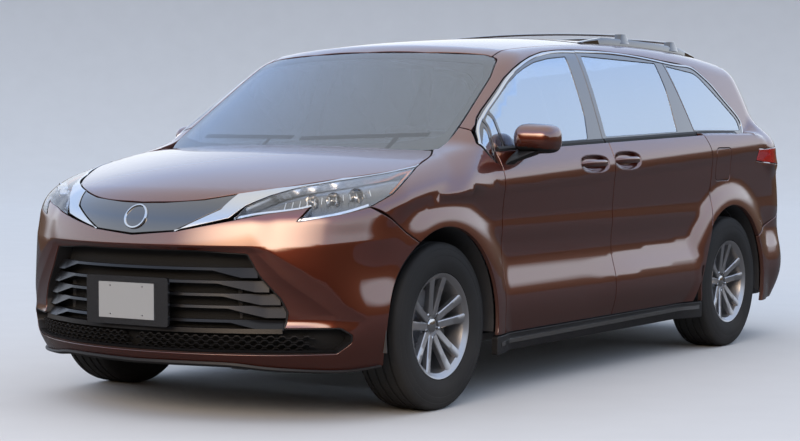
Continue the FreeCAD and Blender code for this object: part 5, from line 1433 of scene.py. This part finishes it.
# %% [markdown]
# Dark liners close the wheel arches, and a thin rubber seal stops the view between each door and its glass.

# %% Skirt strip, arch liners and belt seals
def side_bar(points, low, high, proud, field=low_body):
    """A strip along the side between two heights above and below its line."""
    line = smooth(points, 0.03)

    def corner(up, out):
        p = from_side(line + (0, up), field)
        return p + slope_of(field, p) * out

    return section_solid(corner, ((low, -0.002), (low, proud), (high, proud), (high, -0.002)))


skirt_middle = [(-1.150, 0.248), (0.0, 0.253), (0.985, 0.258)]
add_pieces("skirt_strip", [side_bar(skirt_middle, -0.010, 0.010, 0.004)], slots=(CHROME,), sides="both")


def liner(axle, start, end, radius=0.438, x0=0.70, x1=0.965):
    """The inside of a wheel housing: a curved sheet 4 mm thick over the tyre."""
    a = np.radians(np.linspace(start, end, 40))
    return section_solid(lambda x, r: np.stack([0 * a + x, axle + r * np.cos(a), WHEEL_Z + r * np.sin(a)], 1),
                         ((x1, radius), (x1, radius + 0.004), (x0, radius + 0.004), (x0, radius)))


add_pieces("arch_liners", [liner(FRONT_AXLE, -8, 190), liner(REAR_AXLE, -10, 188)], slots=(CHASSIS,), sides="both")


def seal(y0, y1):
    """The rubber wiper at a window's foot, lying in the corner between the door and the glass."""
    y = np.linspace(y0, y1, 40)
    z = belt(y) + 0.002
    p = cast(ACROSS, glasshouse, np.stack([y, z + 0.010], 1))
    return section_solid(lambda out, up: np.stack([p[:, 0] + out, y, z + up], 1),
                         ((-0.004, -0.012), (0.016, -0.012), (0.014, 0.000), (0.002, 0.010), (-0.004, 0.010)))


add_pieces("belt_seal_door", [seal(-1.070, -0.006)], "front_door_{}_body", slots=(SEAL,), sides="both")
add_pieces("belt_seal_side", [seal(0.006, 1.128), seal(1.140, 1.700)], slots=(SEAL,), sides="both")

# %% [markdown]
# ## Seats
# Real seat covers are sewn sleeves over foam: the foam swells between the seams and the seams pull it in. So a flat,
# slightly small cushion is puffed up as cloth, and the seams and the stitched channels are pressed in afterwards.
# One cushion and one back are puffed; every seat is a copy of them in its own size and lean.

# %% Puffing
def slab(wide, deep, thick, corner=0.075, edge=0.028):
    """A flat box with round corners in plan and a round edge, lying from z = 0 to thick."""
    rings = []
    for a in np.linspace(0, np.pi, 9):
        inset = edge * (1 - math.sin(a))
        w, d = wide / 2 - inset, deep / 2 - inset
        loop = rounded([(-w, -d), (w, -d), (w, d), (-w, d)], corner, 0.02)
        rings.append(np.column_stack([loop[:96], np.full(len(loop[:96]), thick * (0.5 - 0.5 * math.cos(a)))]))
    least = min(len(r) for r in rings)
    return grid_solid(np.array([r[np.linspace(0, len(r) - 1, least).astype(int)] for r in rings]))


def puffed(verts, faces, voxel=0.012, pressure=4.0, cap=0.018):
    """The shape as a cloth bag under pressure: no point may move more than the cap. Returns points and quads."""
    bag = to_mesh("bag", verts, faces)
    net = bag.modifiers.new("net", "REMESH")
    net.mode, net.voxel_size = "VOXEL", voxel
    bpy.context.view_layer.update()
    fine = bpy.data.meshes.new_from_object(bag.evaluated_get(bpy.context.evaluated_depsgraph_get()))
    bag.modifiers.clear()
    bag.data = fine
    start = np.empty(len(fine.vertices) * 3)
    fine.vertices.foreach_get("co", start)
    start = start.reshape(-1, 3)
    end = start
    cloth = bag.modifiers.new("cloth", "CLOTH")
    cloth.settings.use_pressure, cloth.settings.uniform_pressure_force = True, pressure
    cloth.settings.effector_weights.gravity = 0
    for frame_number in range(1, 21):
        bpy.context.scene.frame_set(frame_number)
    swollen = bag.evaluated_get(bpy.context.evaluated_depsgraph_get()).to_mesh()
    end = np.empty(len(start) * 3)
    swollen.vertices.foreach_get("co", end)
    end = end.reshape(-1, 3)
    bpy.context.scene.frame_set(1)
    move = end - start
    far = np.linalg.norm(move, axis=1, keepdims=True)
    end = start + move * np.minimum(1, cap / np.maximum(far, 1e-9))
    quads = np.empty(len(fine.loops), np.int32)
    fine.loops.foreach_get("vertex_index", quads)
    bpy.data.objects.remove(bag)
    return end, quads.reshape(-1, 4)


def pressed(points, lines, deep=0.007, wide=0.007):
    """Seams: each line (axis, place) presses the top face down by deep * exp(-(distance / wide)^2)."""
    out = points.copy()
    upper = np.clip((points[:, 2] - 0.05) / 0.03, 0, 1)
    for axis, place in lines:
        at = np.abs(points[:, 0]) if axis == 0 else points[:, 1]
        out[:, 2] -= upper * deep * np.exp(-((at - place) / wide) ** 2)
    return out


CUSHION, QUADS = puffed(*slab(0.46, 0.44, 0.115))
BACK, BACK_QUADS = puffed(*slab(0.46, 0.56, 0.085))
HEAD, HEAD_QUADS = puffed(*slab(0.225, 0.150, 0.070, corner=0.05), cap=0.012)
CUSHION = pressed(CUSHION, ((0, 0.150), (1, -0.03), (1, 0.10)))
BACK = pressed(BACK, ((0, 0.150), (1, -0.12), (1, 0.02), (1, 0.16)), deep=0.006)
# Side bolsters stand up beside the sitter, outside the long seams.
for shape, gain in ((CUSHION, 0.030), (BACK, 0.034)):
    shape[:, 2] += gain * np.clip((np.abs(shape[:, 0]) - 0.155) / 0.05, 0, 1) ** 1.5 * (shape[:, 2] > 0.05)


def laid(shape, wide, deep, lean, place):
    """The shape scaled in its plane, turned about x by lean, and moved."""
    a = math.radians(lean)
    p = shape * (wide, deep, 1)
    return np.stack([p[:, 0] + place[0], p[:, 1] * math.cos(a) - p[:, 2] * math.sin(a) + place[1],
                     p[:, 1] * math.sin(a) + p[:, 2] * math.cos(a) + place[2]], 1)


def seat_of(x, y, z, wide, depth, height, lean, heads):
    """Cushion, back and headrests of one seat, in the space of its solid."""
    # the puffed cushion is 0.49 m wide and 0.47 m deep, and the puffed back 0.58 m tall
    w = wide / 0.49
    top = z + 0.06 + height
    back_y = y + depth + 0.015
    slope = math.tan(math.radians(lean))
    parts = [(laid(CUSHION, w, depth / 0.47, 4, (x, y + depth / 2 - 0.01, z + 0.025)), QUADS)]
    middle = z + 0.07 + height * 0.5
    # The back stands on edge: its face looks forward, its long side runs up and leans back.
    stood = np.stack([BACK[:, 0], -BACK[:, 2], BACK[:, 1]], 1) * (w, 1, height / 0.58)
    leant = stood + np.stack([0 * stood[:, 0], stood[:, 2] * slope, 0 * stood[:, 0]], 1)
    parts.append((leant + (x, back_y + (middle - z - 0.06) * slope + 0.055, middle), BACK_QUADS))
    for at in heads:
        rest = np.stack([HEAD[:, 0], -HEAD[:, 2], HEAD[:, 1]], 1)
        parts.append((rest + (x + at, back_y + height * slope + 0.06, top + 0.115), HEAD_QUADS))
    return parts


def add_seat(name, node, parts):
    """A seat as one padded piece, evened out once, in place of its solid."""
    piece = to_mesh(name, *joined(parts), None, (SEAT_LEATHER,))
    even = piece.modifiers.new("even", "SUBSURF")
    even.levels = even.render_levels = 1
    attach(piece, "body")
    if node:
        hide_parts(node)


# name, solid, then x, y, z, wide, depth, height, lean, headrests
SEATS = (("front_seat_left", "seats_front", (0.40, -0.640, 0.400, 0.53, 0.50, 0.60, 22, (0,))),
         ("middle_seat_left", "seats_second_row", (0.40, 0.330, 0.420, 0.52, 0.48, 0.60, 22, (0,))),
         ("front_seat_right", None, (-0.40, -0.640, 0.400, 0.53, 0.50, 0.60, 22, (0,))),
         ("middle_seat_right", None, (-0.40, 0.330, 0.420, 0.52, 0.48, 0.60, 22, (0,))),
         ("rear_bench", "seat_third_row", (0, 1.290, 0.420, 0.97, 0.45, 0.56, 20, (-0.35, 0, 0.35))))
SEAT_LEATHER = finish_of("seat_leather", (0.05, 0.047, 0.045), drift=(5.0, 0.15), grain=(420.0, 0.0010), Roughness=0.5)
for name, node_name, place in SEATS:
    add_seat(name, node_name, seat_of(*place))


def frame_tube(path, radius=0.012, around=10):
    """A round tube along a path: each ring is square to the path."""
    path = np.asarray(path, float)
    way = np.gradient(path, axis=0)
    way /= np.linalg.norm(way, axis=1, keepdims=True)
    side = np.cross(way, (1.0, 0.03, 0.05))
    side /= np.linalg.norm(side, axis=1, keepdims=True)
    up = np.cross(way, side)
    a = angles(around)[:, None]
    return grid_solid(path[:, None] + radius * (np.cos(a) * side[:, None] + np.sin(a) * up[:, None]))


def seat_stand(x, y, z, wide, depth, height, lean, heads):
    """Headrest posts, a plinth and a shell under the cushion."""
    slope = math.tan(math.radians(lean))
    top, back_y = z + 0.06 + height, y + depth + 0.06
    head_y = back_y + height * slope
    line = [(back_y + (height - 0.08) * slope, top - 0.08), (head_y, top), (head_y + 0.012, top + 0.10)]
    posts = [frame_tube([(x + at + off, *p) for p in line], 0.006) for at in heads for off in (-0.055, 0.055)]
    # how far each level lies inside the seat's width, front and back, and its height
    levels = ((0.06, 0.07, 0.05, 0.290), (0.09, 0.09, 0.05, z - 0.03), (0.03, 0.03, 0.02, z),
              (0.02, 0.03, 0.02, z + 0.035))
    w = wide / 2
    return posts + [bar_between([(x - w + a, x + w - a, y + b, y + depth - c, level) for a, b, c, level in levels])]


add_pieces("seat_frames", sum([seat_stand(*place) for name, node_name, place in SEATS], []), slots=(CABIN,))

# %% [markdown]
# ## Finishes of the solids that stay
# The frame, the axles and the machinery keep their own solids and only get a finish each.

# %% Finishes by node
KEPT = {CHASSIS: "floor_pan front_subframe rear_subframe", CAST: "knuckle_left knuckle_right exhaust",
        CASTING: "engine_block radiator", TANK: "fuel_tank", CABIN: "dashboard steering_wheel",
        TRIM: "cowl_panel wipers", PLATE: "front_plate"}
finish_by_node = {name: finish for finish, names in KEPT.items() for name in names.split()}
for name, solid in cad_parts.items():
    solid.data.materials.clear()
    solid.data.materials.append(finish_by_node.get(name, UNDERSIDE))

# %% [markdown]
# ## Light, floor and camera
# The photograph was taken under open sky in the shade of trees, so the light here is one wide soft sky with a warm,
# low key from the camera's left. The floor and the backdrop are one pale sheet, curved up behind the van.

# %% Sky
world = bpy.data.worlds.new("sky")
bpy.context.scene.world = world
world.use_nodes = True
tree = world.node_tree
tree.nodes.clear()
way = node(tree, "SeparateXYZ", {0: node(tree, "TexCoord").outputs["Generated"]}).outputs
# Ahead of the van stand taller trees: the sky's lower edge is lifted by 0.28 x how far the direction points ahead.
lifted = sums(tree, "MULTIPLY_ADD", sums(tree, "MINIMUM", way["Y"], 0), 0.28, way["Z"])
ramp = node(tree, "ValToRGB", {0: sums(tree, "MULTIPLY_ADD", lifted, 0.5, 0.5)})
stops = ramp.color_ramp.elements
for stop, colour in ((0.400, (0.05, 0.036, 0.026, 1)), (0.50, (0.11, 0.070, 0.042, 1)), (0.530, (0.14, 0.10, 0.06, 1)),
                     (0.552, (1.15, 1.22, 1.32, 1)), (0.72, (0.70, 0.90, 1.30, 1)), (1.0, (0.32, 0.50, 0.92, 1))):
    stops.new(stop).color = colour
stops.remove(stops[-1])
stops.remove(stops[0])
node(tree, "OutputWorld", {"Surface": node(tree, "Background", {"Color": ramp.outputs[0]}).outputs[0]})

# %% [markdown]
# A low sun seen through leaves gives the warm glow on the nose and the flank; one wide lamp stands for it.

# %% Key lamp
shine = bpy.data.lights.new("key", "AREA")
shine.shape, shine.size, shine.size_y = "RECTANGLE", 20.0, 9.0
shine.energy, shine.color = 2600, (1.0, 0.74, 0.50)
key = bpy.data.objects.new("key", shine)
key.location = (3.0, -15.0, 7.0)
key.rotation_euler = (Vector((0, -1.5, 0.7)) - key.location).to_track_quat("-Z", "Y").to_euler()
bpy.context.scene.collection.objects.link(key)
# A cloth-covered lamp: brightest in its middle and fading to nothing at its edge, so it has no outline in the paint.
shine.use_nodes = True
tree = shine.node_tree
off_middle = node(tree, "VectorMath", {0: node(tree, "NewGeometry").outputs["Parametric"], 1: (0.5, 0.5, 0.0)},
                  operation="DISTANCE").outputs["Value"]
fade = node(tree, "MapRange", {"Value": off_middle, "From Min": 0.5, "From Max": 0.05, "To Min": 0.0, "To Max": 1.5},
            interpolation_type="SMOOTHSTEP")
fill(tree, tree.nodes["Emission"], {"Strength": fade.outputs[0]})

# %% [markdown]
# The floor is one round pale sheet. Its rim curves up so far away that no line shows where the floor ends.

# %% Floor
def bowl_floor(radius=22.0, bend=6.0, rise=12.0, around=96):
    """A round floor whose rim curves up into a wall: height = bend x (1 - cos t), t from 0 to 90 degrees."""
    t = np.radians(np.linspace(0, 90, 19))
    run = np.concatenate([[0.5, radius], radius + bend * np.sin(t[1:]), [radius + bend]])
    high = np.concatenate([[0, 0], bend * (1 - np.cos(t[1:])), [rise]])
    a = angles(around)
    rings = np.stack([run[:, None] * np.cos(a), run[:, None] * np.sin(a), high[:, None] + 0 * a], -1)
    index = np.arange(len(run) * around).reshape(len(run), around)
    nxt = np.roll(index, -1, axis=1)
    middle = np.full(around, index.size)
    faces = np.concatenate([np.stack([index[:-1], nxt[:-1], nxt[1:]], -1).reshape(-1, 3)[:, ::-1],
                            np.stack([index[:-1], nxt[1:], index[1:]], -1).reshape(-1, 3)[:, ::-1],
                            np.stack([middle, index[0], nxt[0]], 1)])
    return np.concatenate([rings.reshape(-1, 3), [(0.0, 0.0, 0.0)]]), faces


WALL_FOOT = 0.02
ground, tree, shader = new_finish("pale_floor", Roughness=0.85, Specular_IOR_Level=0.1)
ray = node(tree, "LightPath").outputs
pale = mixed(tree, noise(tree, 3.0), (0.66, 0.66, 0.65, 1), (0.70, 0.70, 0.69, 1))
# What the paint mirrors is a darker ground and an open sky: in a reflection the floor is dark and the wall not there.
fill(tree, shader, {"Base Color": mixed(tree, ray["Is Glossy Ray"], pale, (0.09, 0.085, 0.08, 1))})
high = node(tree, "SeparateXYZ", {0: node(tree, "TexCoord").outputs["Object"]}).outputs["Z"]
wall = sums(tree, "GREATER_THAN", high, WALL_FOOT)
seen = sums(tree, "MAXIMUM", ray["Is Camera Ray"], ray["Is Transmission Ray"])
# Seen from outside, as from behind the van, the wall is not there either.
hidden = sums(tree, "MAXIMUM", sums(tree, "SUBTRACT", 1, seen), node(tree, "NewGeometry").outputs["Backfacing"])
pick = node(tree, "MixShader", {0: sums(tree, "MULTIPLY", wall, hidden), 1: shader.outputs[0],
                                2: node(tree, "BsdfTransparent").outputs[0]})
fill(tree, tree.nodes["Material Output"], {"Surface": pick.outputs[0]})
floor = to_mesh("floor", *bowl_floor(), None, (ground,))

# %% [markdown]
# The camera was found by matching wheels, roof, belt line and nose with the photograph.

# %% Camera, where the photographer stood
lens = bpy.data.cameras.new("camera")
lens.lens, lens.sensor_width = 86.25, 36
camera = bpy.data.objects.new("camera", lens)
camera.location = (5.398, -8.673, 1.207)
camera.rotation_euler = (math.radians(90 - 2.59), 0, math.radians(33.41))
bpy.context.scene.collection.objects.link(camera)
bpy.context.scene.camera = camera
bpy.context.scene.view_settings.view_transform = "Standard"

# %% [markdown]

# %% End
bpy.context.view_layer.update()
